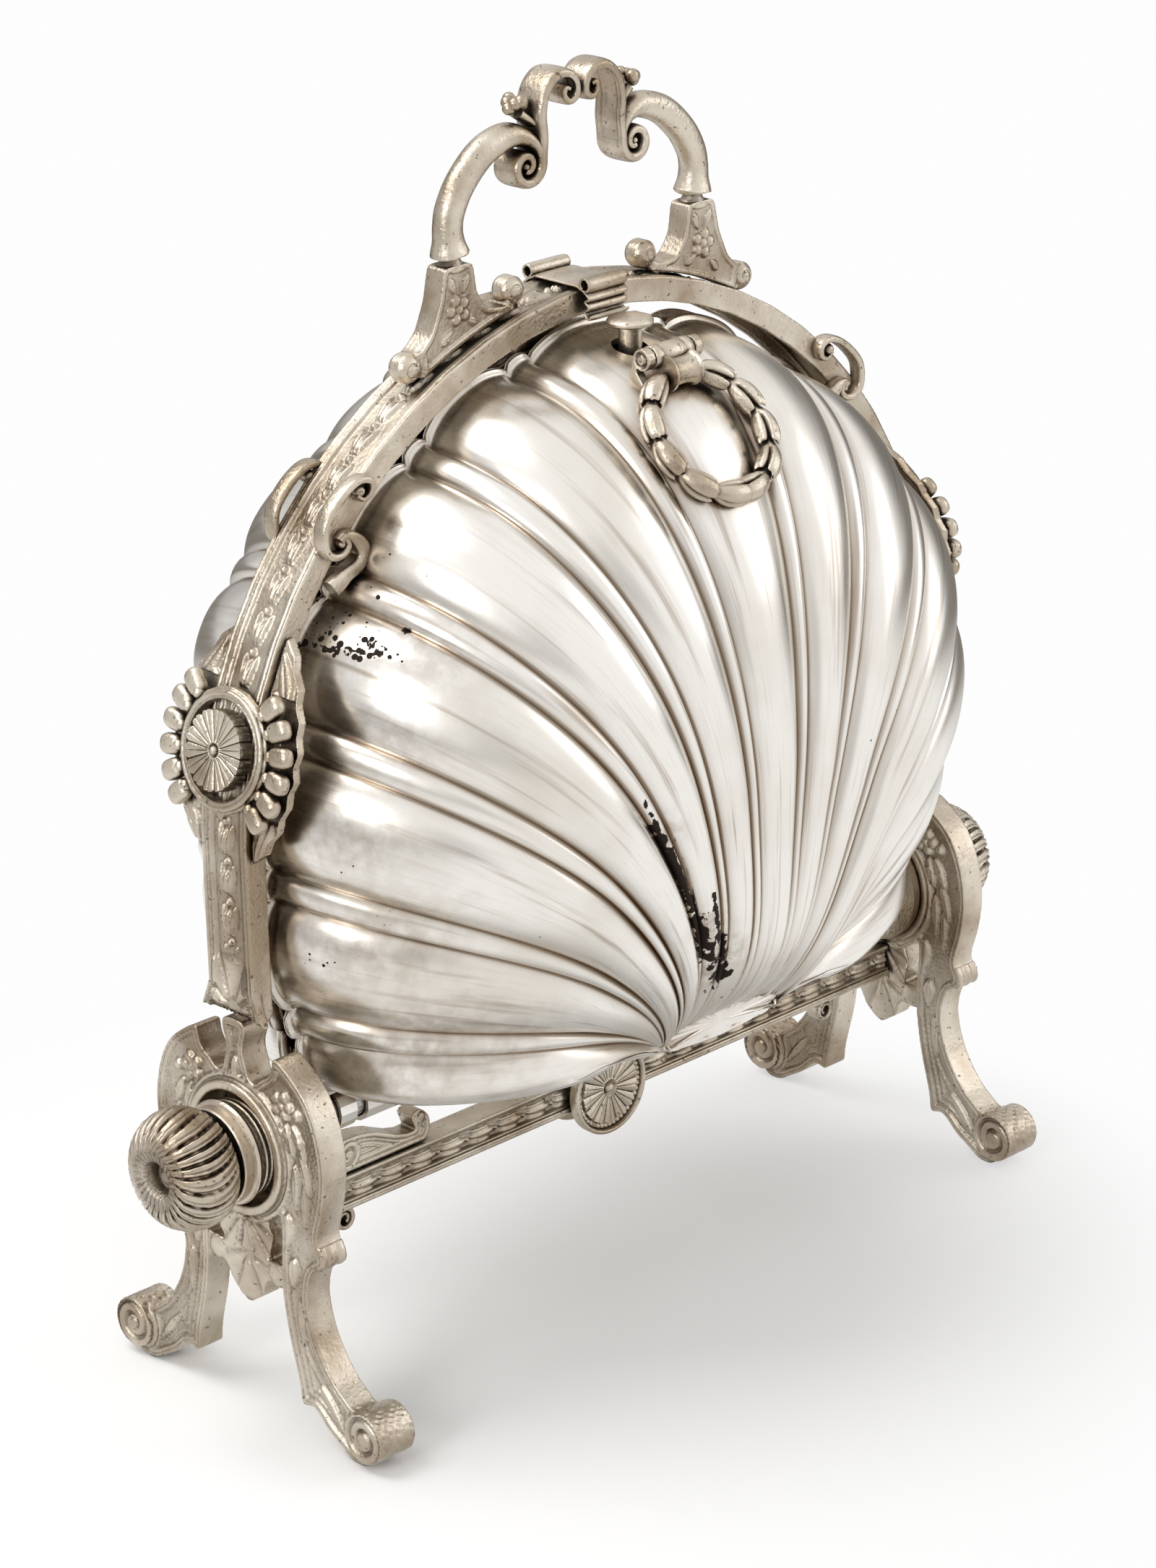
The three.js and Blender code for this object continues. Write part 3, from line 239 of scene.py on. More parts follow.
def hill(x):
    return np.sqrt(np.clip(1 - x * x, 0, 1))


def dome(u, v, centre, radius, height):
    return height * hill(np.hypot(u - centre[0], v - centre[1]) / radius)


def leaf(u, v, base, tip, width, height, vein):
    along = np.array(tip, float) - np.array(base, float)
    length = math.hypot(*along)
    along /= length
    t = ((u - base[0]) * along[0] + (v - base[1]) * along[1]) / length
    s = -(u - base[0]) * along[1] + (v - base[1]) * along[0]
    half = width * np.sin(math.pi * np.clip(t, 0, 1) ** 0.75) + 1e-6
    body = height * hill(s / half) * ((t > 0) & (t < 1))
    return np.clip(body - vein * peak(s, 0, 0.28) * (body > 0), 0, None)


def spiral(u, v, centre, radius, turns, hand, depth):
    rho = np.hypot(u - centre[0], v - centre[1])
    theta = np.arctan2(v - centre[1], (u - centre[0]) * hand) / (2 * math.pi)
    groove = peak((rho / radius * turns - theta) % 1, 0.5, 0.17)
    eye = rho < radius / turns * 0.55
    return np.where(eye, 0.1, -depth * groove) * (rho < radius * 0.93)


# a bell or bud of three domes, each [place along, half length, place across, half width, share of the height]
def husk(t, v, half, height, domes):
    shapes = []
    for along, length, aside, width, share in domes:
        across = (np.abs(v) - aside * half) / (half * width)
        shapes.append(height * share * hill(np.hypot((t - along) / length, across)))
    return np.maximum.reduce(shapes)


# a small flower of round petals with a bead in the middle
def bloom(u, v, centre, radius, petals, height):
    shapes = [dome(u, v, centre, radius * 0.32, height * 1.1)]
    for a in circle(petals):
        place = (centre[0] + radius * 0.6 * math.cos(a), centre[1] + radius * 0.6 * math.sin(a))
        shapes.append(dome(u, v, place, radius * 0.4, height))
    return np.maximum.reduce(shapes)


# a flower with its berries and leaves
def spray(u, v, form):
    flower, berry, blade, vein = form["sprayHeights"]
    shapes = [bloom(u, v, form["flower"][:2], *form["flower"][2:], flower)]
    shapes += [dome(u, v, place, radius, berry) for *place, radius in form.get("berries", [])]
    shapes += [leaf(u, v, base, tip, width, blade, vein) for base, tip, width in form["leaves"]]
    return np.maximum.reduce(shapes)


# rays that spread from a foot; reach and ray are the share of its length and the angle
def fanRays(reach, ray, rays, root, tip):
    return np.abs(np.cos(ray * rays)) ** 0.6 * step(*root, reach) * step(*tip, reach)


# places another height inside a circle
def within(u, v, place, radius, inside, outside):
    return np.where(np.hypot(u - place[0], v - place[1]) < radius, inside, outside)


# distance of every point from the nearest side wall, seen along the axis
def wallDistance(points, normals, axis, flatness=0.75):
    flat = [k for k in range(3) if k != axis]
    wall = np.abs(normals[:, axis]) < flatness
    return nearest(points[wall][:, flat], points[:, flat])[1]


# bands and tubes in the plane of the arch; stations are [x, z, half thickness, half width]
def smoothLine(stations, steps=6):
    rows = np.asarray(stations, float)
    held = np.vstack([2 * rows[0] - rows[1], rows, 2 * rows[-1] - rows[-2]])
    out = []
    for k in range(len(rows) - 1):
        a, b, c, d = held[k:k + 4]
        for t in np.arange(steps) / steps:
            out.append(0.5 * (2 * b + (c - a) * t + (2 * a - 5 * b + 4 * c - d) * t * t
                              + (3 * b - a - 3 * c + d) * t ** 3))
    return np.vstack([out, rows[-1:]])


def sweptBand(stations, power, steps=32, hollow=0):
    stations = np.asarray(stations, float)
    line = stations[:, :2]
    tangent = np.gradient(line, axis=0)
    tangent /= np.linalg.norm(tangent, axis=1, keepdims=True)
    wide, deep = (np.sign(f) * np.abs(f) ** power for f in (np.cos(circle(steps)), np.sin(circle(steps))))
    across = stations[:, 2:3] * wide
    dip = np.reshape(hollow, (-1, 1)) * (wide > 0) * (1 - np.abs(deep) ** 3 - 0.12 * np.cos(deep * 19))
    across = across * (1 - dip)
    x = line[:, :1] - tangent[:, 1:] * across
    z = line[:, 1:] + tangent[:, :1] * across
    return ringStack(np.stack([x, stations[:, 3:4] * deep, z], -1))


# a volute that winds inwards from the outer radius, with a rounded eye
def curlStations(centre, radius, start, turns, thickness, width, steps=44):
    t = np.linspace(0, 1, steps)
    r, thick, wide = (low + (high - low) * t for low, high in (radius, thickness, width))
    a = (start + 360 * turns * t) * degree
    return np.stack([centre[0] + r * np.cos(a), centre[1] + r * np.sin(a), thick, wide], -1)


def ball(centre, radius, squash=(1, 1, 1), rows=10, steps=20):
    profile = [[math.sin(math.pi * k / rows) * radius + 1e-3, -math.cos(math.pi * k / rows) * radius]
               for k in range(rows + 1)]
    points, faces = lathe(profile, 2, (0, 0, 0), steps)
    return points * np.array(squash) + np.array(centre), faces


# a disc with a carved face; height and notch take the share of the radius and the angle
def dial(radius, height, notch, thickness, rings=46, steps=420):
    share = np.linspace(0.015, 1, rings)[:, None]
    turn = circle(steps)[None, :]
    reach = radius * (1 - notch(turn)) * share
    face = np.stack([reach * np.cos(turn), reach * np.sin(turn), height(share, turn) + 0 * reach], -1)
    low = face[-1].copy()
    low[:, 2] = -thickness
    middle = low * (1, 1, 0.3)
    return ringStack(np.concatenate([face, middle[None], low[None], (low * (0.05, 0.05, 1))[None]]))


def turnedTo(points, right, up, origin):
    right, up = np.asarray(right, float), np.asarray(up, float)
    out = np.cross(right, up)
    return points[:, :1] * right + points[:, 1:2] * up + points[:, 2:] * out + np.asarray(origin, float)


# materials
def newMaterial(name):
    material = bpy.data.materials.new(name)
    material.use_nodes = True
    tree = material.node_tree
    return material, tree, tree.nodes["Principled BSDF"], add(tree, "TexCoord").outputs["Object"]


def add(tree, kind, **inputs):
    node = tree.nodes.new("ShaderNode" + kind)
    for key, value in inputs.items():
        node.inputs[key].default_value = value
    return node


# each value is linked to its input, or set there; a socket's id_data is its tree
def feed(node, keys, values):
    for key, value in zip(keys, values):
        if isinstance(value, bpy.types.NodeSocket):
            node.id_data.links.new(value, node.inputs[key])
        else:
            node.inputs[key].default_value = value


def mixColour(share, first, second):
    node = add(share.id_data, "Mix")
    node.data_type = "RGBA"
    feed(node, (0, 6, 7), (share, first, second))
    return node.outputs[2]


def ranged(value, low, high, first=0.0, second=1.0, curve="LINEAR"):
    limits = {"From Min": low, "From Max": high, "To Min": first, "To Max": second}
    node = add(value.id_data, "MapRange", **limits)
    node.interpolation_type = curve
    feed(node, ["Value"], [value])
    return node.outputs["Result"]


def noise(place, scale, detail=4.0, rough=0.55):
    node = add(place.id_data, "TexNoise", Scale=scale, Detail=detail, Roughness=rough)
    feed(node, ["Vector"], [place])
    return node.outputs["Fac"]


def maths(operation, *values, kind="Math", output=0):
    node = add(values[0].id_data, kind)
    node.operation = operation
    feed(node, (0, 1), values)
    return node.outputs[output]


def attribute(tree, name, output="Fac"):
    node = add(tree, "Attribute")
    node.attribute_name = name
    return node.outputs[output]


def occlusion(tree, distance):
    node = add(tree, "AmbientOcclusion", Distance=distance)
    node.samples = 6
    return node.outputs["AO"]


# what both metals end with; grain is [strength, distance, scale, detail]
def finishMetal(shader, place, colour, rough, grain):
    bump = add(shader.id_data, "Bump", Strength=grain[0], Distance=grain[1])
    feed(bump, ["Height"], [noise(place, *grain[2:])])
    keys = ("Base Color", "Metallic", "Roughness", "Normal")
    feed(shader, keys, (colour, 1.0, rough, bump.outputs["Normal"]))


castLook = {
    "colour": (0.38, 0.30, 0.215, 1), "worn": (0.72, 0.645, 0.54, 1), "tarnish": (0.045, 0.028, 0.016, 1),
    "roughness": 0.3, "darkness": 0.97, "grain": (0.42, 0.0004, 1100.0, 4.0),
}


def castMaterial(name, look=castLook, hollow=False, tarnishSpread=1.0):
    material, tree, shader, place = newMaterial(name)
    patches = noise(place, 48.0)
    colour = mixColour(ranged(patches, 0.38, 0.62), look["colour"], look["worn"])
    shade = ranged(occlusion(tree, 0.0024), 0.38 * tarnishSpread, 0.82, look["darkness"], 0.0)
    if hollow:
        shade = maths("MAXIMUM", shade, maths("MULTIPLY", attribute(tree, "hollow"), 0.2))
    speckle = ranged(noise(place, 420.0, 3.0), 0.3, 0.62, 0.72, 1.1)
    shade = maths("MULTIPLY", shade, speckle)
    pits = ranged(noise(place, 900.0, 2.0), 0.66, 0.71)
    shade = maths("MAXIMUM", shade, maths("MULTIPLY", pits, 0.7))
    colour = mixColour(shade, colour, look["tarnish"])
    rough = ranged(patches, 0.3, 0.7, look["roughness"] - 0.06, look["roughness"] + 0.08)
    rough = maths("ADD", rough, maths("MULTIPLY", shade, 0.22))
    finishMetal(shader, place, colour, rough, look["grain"])
    return material


# the stain tone colours the real brown stains, and also the painted shade in the grooves and the painted dark
# reflections along the flutes
shellLook = {
    "colour": (0.90, 0.872, 0.825, 1), "champagne": (0.66, 0.60, 0.505, 1),
    "tarnish": (0.035, 0.026, 0.022, 1), "stainAndPaintedShadeTone": (0.30, 0.22, 0.15, 1), "roughness": 0.17,
    "grain": (0.05, 0.0005, 130.0, 6.0),
}


def shellMaterial(name, look=shellLook):
    material, tree, shader, place = newMaterial(name)
    patches = noise(place, 26.0, 3.0)
    colour = mixColour(ranged(patches, 0.42, 0.68, 0.0, 0.55), look["colour"], look["champagne"])
    # painted shade: occlusion darkens the grooves between the flutes towards the stain tone
    paintedValleyShade = ranged(occlusion(tree, 0.006), 0.4, 0.92, 0.88, 0.0)
    colour = mixColour(paintedValleyShade, colour, look["stainAndPaintedShadeTone"])
    clouds = ranged(noise(place, 260.0), 0.35, 0.6)
    brown = maths("MULTIPLY", attribute(tree, "stains"), clouds)
    colour = mixColour(maths("MINIMUM", brown, 0.85), colour, look["stainAndPaintedShadeTone"])
    cells = add(tree, "TexVoronoi", Scale=620.0)
    feed(cells, ["Vector"], [place])
    chance = maths("MULTIPLY", cells.outputs["Color"], 0.86)
    reach = maths("MULTIPLY", attribute(tree, "spots"), chance)
    black = ranged(maths("SUBTRACT", cells.outputs["Distance"], reach), -0.12, -0.16)
    streaks = maths("MULTIPLY", attribute(tree, "streaks"), 0.5)
    ragged = maths("ADD", noise(place, 480.0, 3.0), streaks)
    black = maths("MAXIMUM", black, ranged(ragged, 0.84, 0.88))
    fluted = attribute(tree, "fluted", "Vector")
    strokes = noise(fluted, 1.6, 5.0, 0.65)
    colour = mixColour(ranged(strokes, 0.5, 0.75, 0.0, 0.4), colour, look["champagne"])
    # painted reflection: long dark streaks along the flutes, in the stain tone
    paintedReflectionTrails = noise(fluted, 0.42, 3.0, 0.6)
    colour = mixColour(ranged(paintedReflectionTrails, 0.56, 0.7, 0.0, 0.55), colour, look["stainAndPaintedShadeTone"])
    colour = mixColour(black, colour, look["tarnish"])
    rough = ranged(patches, 0.3, 0.7, look["roughness"], look["roughness"] + 0.1)
    rough = maths("ADD", rough, ranged(strokes, 0.3, 0.7, 0.0, 0.1))
    rough = maths("ADD", rough, maths("MULTIPLY", black, 0.4))
    finishMetal(shader, place, colour, rough, look["grain"])
    return material


castSilver = castMaterial("castSilver")
carvedSilver = castMaterial("carvedSilver", hollow=True)
archSilver = castMaterial("archSilver", dict(castLook, darkness=0.8), hollow=True, tarnishSpread=0.7)
shellSilver = shellMaterial("shellSilver")
steelLook = dict(castLook, colour=(0.42, 0.41, 0.39, 1), worn=(0.55, 0.54, 0.52, 1), roughness=0.3)
steelFitting = castMaterial("steelFitting", steelLook)


# shells: the same form as the frame's bowl, with rounded lobes and ribs
shell = {
    "wall": 1.2, "rimHalfWidth": 92.5, "rimRise": 95.3, "rimCornerRise": 10.86, "rimLegTaper": 9,
    "rimFootRise": 6.1, "rimPlaneY": 3.4, "umboRise": 7.6, "umboHalfWidth": 18.5, "umboHalfHeight": 3,
    "umboDepth": 37.6, "bellyTop": 54.5, "bellySide": 52.5, "bellyHip": 34, "ribDrawIn": 1.5,
    "ribLift": 1.45, "heelDrop": 1.5, "lobeHeight": 3.45, "ribHeight": 1.8, "lobesPerSide": 6,
    "firstRibAngle": 12.25, "ribPitch": 19.53, "ribHalfAngle": 2.1, "cornerAngle": 118.4,
    "lastLobeAngle": 131, "flangeWidth": 2.2, "flangeBackY": 2.2, "archInset": 6.3, "archFullness": 1.9,
    "archSpringRise": 69.9, "archHalfSpan": 103, "archRise": 97.1, "knuckleClearance": 5.25,
    "beltAngles": (0, 60, 120, 180), "crestShares": (0.31, 0.55, 0.48, 0.06), "growth": (0.1, 2.1),
    "heelAngles": (115, 150), "taperAngle": 25.8, "umboTurnAngle": 75, "crestPower": 4, "curlPower": 2.35,
    "curlRoot": 2.3, "rows": 84, "innerRows": 30, "lobeColumns": 22, "ribColumns": 6, "heelColumns": 24,
    "holeRadius": 4.1, "holeSpan": (205, 235), "buttonY": -16.4, "flangeBevel": 0.35,
}
rimCentre = (axleHeight + shell["rimCornerRise"]
             + shell["rimRise"] * (shell["cornerAngle"] - 90) * degree)
archSpring = axleHeight + shell["archSpringRise"]


def eased(x, stops, values):
    x = np.asarray(x, float)
    out = np.full(x.shape, float(values[-1]))
    for k in range(len(stops) - 1, 0, -1):
        t = np.clip((x - stops[k - 1]) / (stops[k] - stops[k - 1]), 0, 1)
        out = np.where(x <= stops[k], values[k - 1] + (values[k] - values[k - 1]) * t * t * (3 - 2 * t), out)
    return out


# the rim's leg, by its angle below the rim's middle
def rimLeg(low):
    x = shell["rimHalfWidth"] - shell["rimLegTaper"] * (low / shell["taperAngle"]) ** 2
    return x, rimCentre - shell["rimRise"] * low * degree


def rimLine(angle):
    a = np.abs(angle)
    legX, legZ = rimLeg(a - 90)
    cornerX, cornerZ = rimLeg(shell["cornerAngle"] - 90)
    footZ = axleHeight + shell["rimFootRise"]
    u = np.clip((a - shell["cornerAngle"]) / (180 - shell["cornerAngle"]), 0, 1)
    x = np.where(u > 0, cornerX * (1 - u), legX)
    z = np.where(u > 0, footZ + (cornerZ - footZ) * (1 - u) ** 4, legZ)
    x = np.where(a <= 90, shell["rimHalfWidth"] * np.sin(a * degree), x)
    z = np.where(a <= 90, rimCentre + shell["rimRise"] * np.cos(a * degree), z)
    return np.where(angle < 0, -1, 1) * x, z


def bowl(angle, s):
    a = np.abs(angle)
    side = np.where(angle < 0, -1, 1)
    endX, endZ = rimLine(angle)
    bend = shell["umboTurnAngle"]
    turn = np.where(a < bend, 90 * a / bend, 90 + 90 * (a - bend) / (180 - bend))
    startX = side * shell["umboHalfWidth"] * np.sin(turn * degree)
    startZ = axleHeight + shell["umboRise"] + shell["umboHalfHeight"] * np.cos(turn * degree)
    bendX = (startX + endX) / 2 - shell["ribDrawIn"] * startX
    bendZ = (startZ + endZ) / 2 + shell["ribLift"]
    x = (1 - s) ** 2 * startX + 2 * s * (1 - s) * bendX + s * s * endX
    z = (1 - s) ** 2 * startZ + 2 * s * (1 - s) * bendZ + s * s * endZ
    umbo = shell["umboDepth"]
    belly = eased(a, shell["beltAngles"], (shell["bellyTop"], shell["bellySide"], shell["bellyHip"], umbo))
    crest = eased(a, shell["beltAngles"], shell["crestShares"])
    inner = umbo + (belly - umbo) * (1 - (np.clip(crest - s, 0, 1) / crest) ** shell["crestPower"])
    fall = np.clip(1 - (np.clip(s - crest, 0, 1) / (1 - crest)) ** shell["curlPower"], 0, 1)
    depth = np.where(s < crest, inner, belly * fall ** (1 / shell["curlRoot"]))
    sink = shell["heelDrop"] * np.sin(math.pi * s) * eased(a, shell["heelAngles"], (0, 1))
    return np.stack([x, -(shell["rimPlaneY"] + depth), z - sink], -1)


def bowlNormal(angle, s):
    ds, da = 0.004, 0.4
    along = bowl(angle, np.minimum(1, s + ds)) - bowl(angle, np.maximum(0, s - ds))
    ahead = np.where(angle + da > 180, angle + da - 360, angle + da)
    behind = np.where(angle - da < -180, angle - da + 360, angle - da)
    normal = np.cross(along, bowl(ahead, s) - bowl(behind, s))
    normal /= np.linalg.norm(normal, axis=-1, keepdims=True)
    middle = np.array([0, -shell["rimPlaneY"] - shell["bellyTop"] / 4, rimCentre])
    inward = np.sum(normal * (bowl(angle, s) - middle), -1, keepdims=True) < 0
    return np.where(inward, -normal, normal)


# angles round the rim, with the relief of the lobe or rib there
def fluteColumns():
    angles, reliefs = [], []
    half = shell["ribHalfAngle"]
    for k in range(-shell["lobesPerSide"], shell["lobesPerSide"] + 1):
        start = shell["firstRibAngle"] + (abs(k) - 1) * shell["ribPitch"] + half
        last = abs(k) == shell["lobesPerSide"]
        end = shell["lastLobeAngle"] if last else start + shell["ribPitch"] - 2 * half
        if k == 0:
            start, end = half - shell["firstRibAngle"], shell["firstRibAngle"] - half
        if k < 0:
            start, end = -end, -start
        t = np.linspace(-1, 1, shell["lobeColumns"] + 1)
        share = (t + np.sin(math.pi * t) / math.pi * 0.35 + 1) / 2
        t = share * 2 - 1
        angles.extend(start + (end - start) * share)
        reliefs.extend(shell["lobeHeight"] * np.clip(1 - np.abs(t) ** 2.5, 0, 1) ** 0.8)
        if k < shell["lobesPerSide"]:
            t = np.linspace(-1, 1, shell["ribColumns"] + 2)[1:-1]
            angles.extend(end + half + half * t)
            reliefs.extend(shell["ribHeight"] * np.sqrt(1 - t * t))
    heel = 360 - 2 * shell["lastLobeAngle"]
    places = shell["lastLobeAngle"] + heel * np.arange(1, shell["heelColumns"]) / shell["heelColumns"]
    angles.extend(np.where(places > 180, places - 360, places))
    reliefs.extend(np.zeros(len(places)))
    return np.array(angles), np.array(reliefs)


def insideArch(x, z):
    span = shell["archHalfSpan"] - shell["archInset"]
    rise = shell["archRise"] - shell["archInset"]
    power = shell["archFullness"]
    above = np.maximum(0, z - archSpring)
    k = np.maximum(1, ((np.abs(x) / span) ** power + (above / rise) ** power) ** (1 / power))
    return x / k, np.where(above > 0, archSpring + above / k, z)


def shellMesh():
    angle, relief = fluteColumns()
    columns = len(angle)

    def row(s, offset):
        share = np.full(columns, s)
        lift = relief * np.clip(shell["growth"][0] + shell["growth"][1] * share, 0, 1) + offset
        points = bowl(angle, share) + bowlNormal(angle, share) * lift[:, None]
        x, z = insideArch(points[:, 0], points[:, 2])
        return np.stack([x, points[:, 1], z], -1)

    def rim(y, offset):
        edge = np.ones(columns)
        normal = bowlNormal(angle, edge) * (1, 0, 1)
        normal /= np.linalg.norm(normal, axis=1, keepdims=True)
        points = bowl(angle, edge) + normal * (relief + offset)[:, None]
        x, z = insideArch(points[:, 0], points[:, 2])
        z = np.maximum(z, axleHeight + shell["knuckleClearance"])
        return np.stack([x, np.full(columns, y), z], -1)

    def caps(ring, shares):
        return [ring.mean(0) + (ring - ring.mean(0)) * k for k in shares]

    shares = 1 - (1 - np.linspace(0, 1, shell["rows"])) ** 2.1
    outer = [row(s, 0) for s in shares[:-1]]
    front, back = -shell["rimPlaneY"], -shell["flangeBackY"]
    width, bevel, wall = shell["flangeWidth"], shell["flangeBevel"], shell["wall"]
    edges = [(front - 0.9, 0.15), (front - 0.25, 0.7), (front, 1.1), (front, width - bevel),
             (front + bevel, width), (back - bevel, width), (back, width - bevel), (back, -wall)]
    flange = [rim(y, offset) for y, offset in edges]
    inner = [row(s, -wall) for s in (1 - (1 - np.linspace(0, 0.97, shell["innerRows"])) ** 1.6)[::-1]]
    rings = caps(outer[0], (0.04, 0.35, 0.7)) + outer[:-1] + flange + inner + caps(inner[-1], (0.6, 0.04))
    points, faces = ringStack(np.array(rings))
    shareRows = np.concatenate([np.zeros(3), shares[:-2], np.ones(8), np.full(len(inner) + 2, 2.0)])
    return points, faces, np.tile(angle, len(rings)), np.repeat(shareRows, columns)


# marks on the front shell, fainter on the back one: spots and stains are [x, z, radius, strength],
# streaks are [x, z, x, z, half width, strength]
marks = {
    "spots": [[-72.5, 181.7, 3.2, 0.75], [-68, 188, 3.5, 0.7], [-81, 171.7, 3.2, 1.2],
              [-78.4, 172.4, 2.6, 1.3], [-84, 170.5, 2.4, 0.9], [-77, 177, 3, 0.7], [18, 140, 1.0, 1.1],
              [28, 133, 1.1, 1.2], [38.6, 136.4, 0.9, 1.1], [-86, 118, 4, 0.75], [-61, 111, 3, 0.6],
              [-92, 107, 3, 0.8], [-14, 86, 4, 0.95], [-9, 81, 3, 0.9], [-90, 128, 3, 0.7]],
    "stains": [[-78, 175, 12, 0.4], [-20, 103, 5, 0.9], [-15, 94, 5.5, 1.1], [-33, 128, 4, 0.7],
               [-88, 112, 14, 0.4], [-80, 84, 16, 0.5], [-60, 82, 11, 0.3], [-92, 135, 9, 0.4],
               [-86, 155, 9, 0.4]],
    "streaks": [[-85, 170.3, -78, 171.6, 1.1, 0.9], [-79, 172.5, -72, 175, 0.9, 0.75],
                [-38, 136, -34, 129, 0.9, 0.9], [-35, 130, -28.5, 118, 1.9, 1.0],
                [-28.5, 118, -23, 106, 1.4, 1.05], [-23, 106, -18.5, 96, 2.6, 1.05],
                [-20.1, 111.9, -16.5, 101, 1.2, 1.0], [-16.5, 101, -11.3, 88, 2.0, 1.05],
                [-17, 94, -13, 86, 2.4, 0.85]],
}


def stainMasks(points, share):
    masks = {key: np.zeros(len(points)) for key in marks}
    outer = share <= 1
    for key in ("spots", "stains"):
        for x, z, radius, strength in marks[key]:
            d = np.hypot(points[:, 0] - x, points[:, 2] - z) / radius
            np.maximum(masks[key], strength * np.exp(-d * d) * outer, out=masks[key])
    for x0, z0, x1, z1, half, strength in marks["streaks"]:
        line = np.array([x1 - x0, z1 - z0])
        away = points[:, [0, 2]] - (x0, z0)
        t = np.clip(away @ line / (line @ line), 0, 1)
        d = np.linalg.norm(away - t[:, None] * line, axis=1) / half
        np.maximum(masks["streaks"], strength * np.exp(-d * d) * outer, out=masks["streaks"])
    return masks


def addShells():
    points, faces, angle, share = shellMesh()
    masks = stainMasks(points, share)
    for name, side in ends:
        piece = newObject(f"{name}ScallopShell", points * (-side, -side, 1), faces)
        for key, values in masks.items():
            marked(piece, values * (1 if side < 0 else 0.5), key)
        layer = piece.data.attributes.new("fluted", "FLOAT_VECTOR", "POINT")
        layer.data.foreach_set("vector", np.stack([angle, share * 5, 0 * share], -1).ravel())
        profile = [[shell["holeRadius"], z] for z in shell["holeSpan"]]
        cutter = newObject("cutter", *lathe(profile, 2, (0, -side * shell["buttonY"], 0), 48))
        hole = piece.modifiers.new("hole", "BOOLEAN")
        hole.object = cutter
        hole.solver = "EXACT"
        finished = evaluated(piece)
        piece.modifiers.clear()
        piece.data = finished
        bpy.data.objects.remove(cutter)
        finished.set_sharp_from_angle(angle=50 * degree)
        dress(piece, f"{name}_shell", shellSilver, f"{name}_leaf", "shell_silver")
    print("shells", len(faces))


addShells()


# end supports: raised border, stippled field, flowers, leaves and volutes; places are [y, z]
support = {
    "border": 1.5, "field": 0.75, "eyeRing": 16.6, "eyeGroove": 15.3, "voxel": 0.32, "legTop": 52,
    "flower": [14.5, 76.4, 3.5, 5], "ridges": [[2.7, 0.6], [4.3, 0.55]],
    "berries": [[18.9, 75.4, 1.3], [19.4, 69.4, 1.2], [15.6, 70.2, 1.1]],
    "leaves": [[[17.3, 73], [20.9, 65.5], 1.4], [[15.2, 72.6], [17.3, 65], 1.2],
               [[19.3, 67], [22.2, 57], 1.2], [[17.6, 64], [17.8, 52], 1.2],
               [[20.4, 61], [20.2, 49], 1.0], [[0, 83.5], [0, 75], 1.6],
               [[14.4, 51.6], [14.3, 43.4], 2.0], [[15.9, 41.6], [15.6, 34], 1.8],
               [[17.6, 33], [18.4, 21], 1.2], [[23, 14.5], [31.5, 4.4], 1.1]],
    "volute": [37.7, 7.6, 5.7, 2.1], "roll": [37.7, 7.6, 6.6], "link": [9.7, 35.3, 2.7],
    "bud": [25.2, 44.2, 2.9],
    # [top, length, rays, lowest z]
    "fans": [[47.8, 14.5, 7, 33.5], [38, 12, 4, 20]], "fanTop": 47.8, "fieldGrain": 0.13,
    # heights of the flower, a berry and a leaf, and depth of the leaf's vein
    "sprayHeights": (1.2, 1.15, 1.0, 0.3),
}


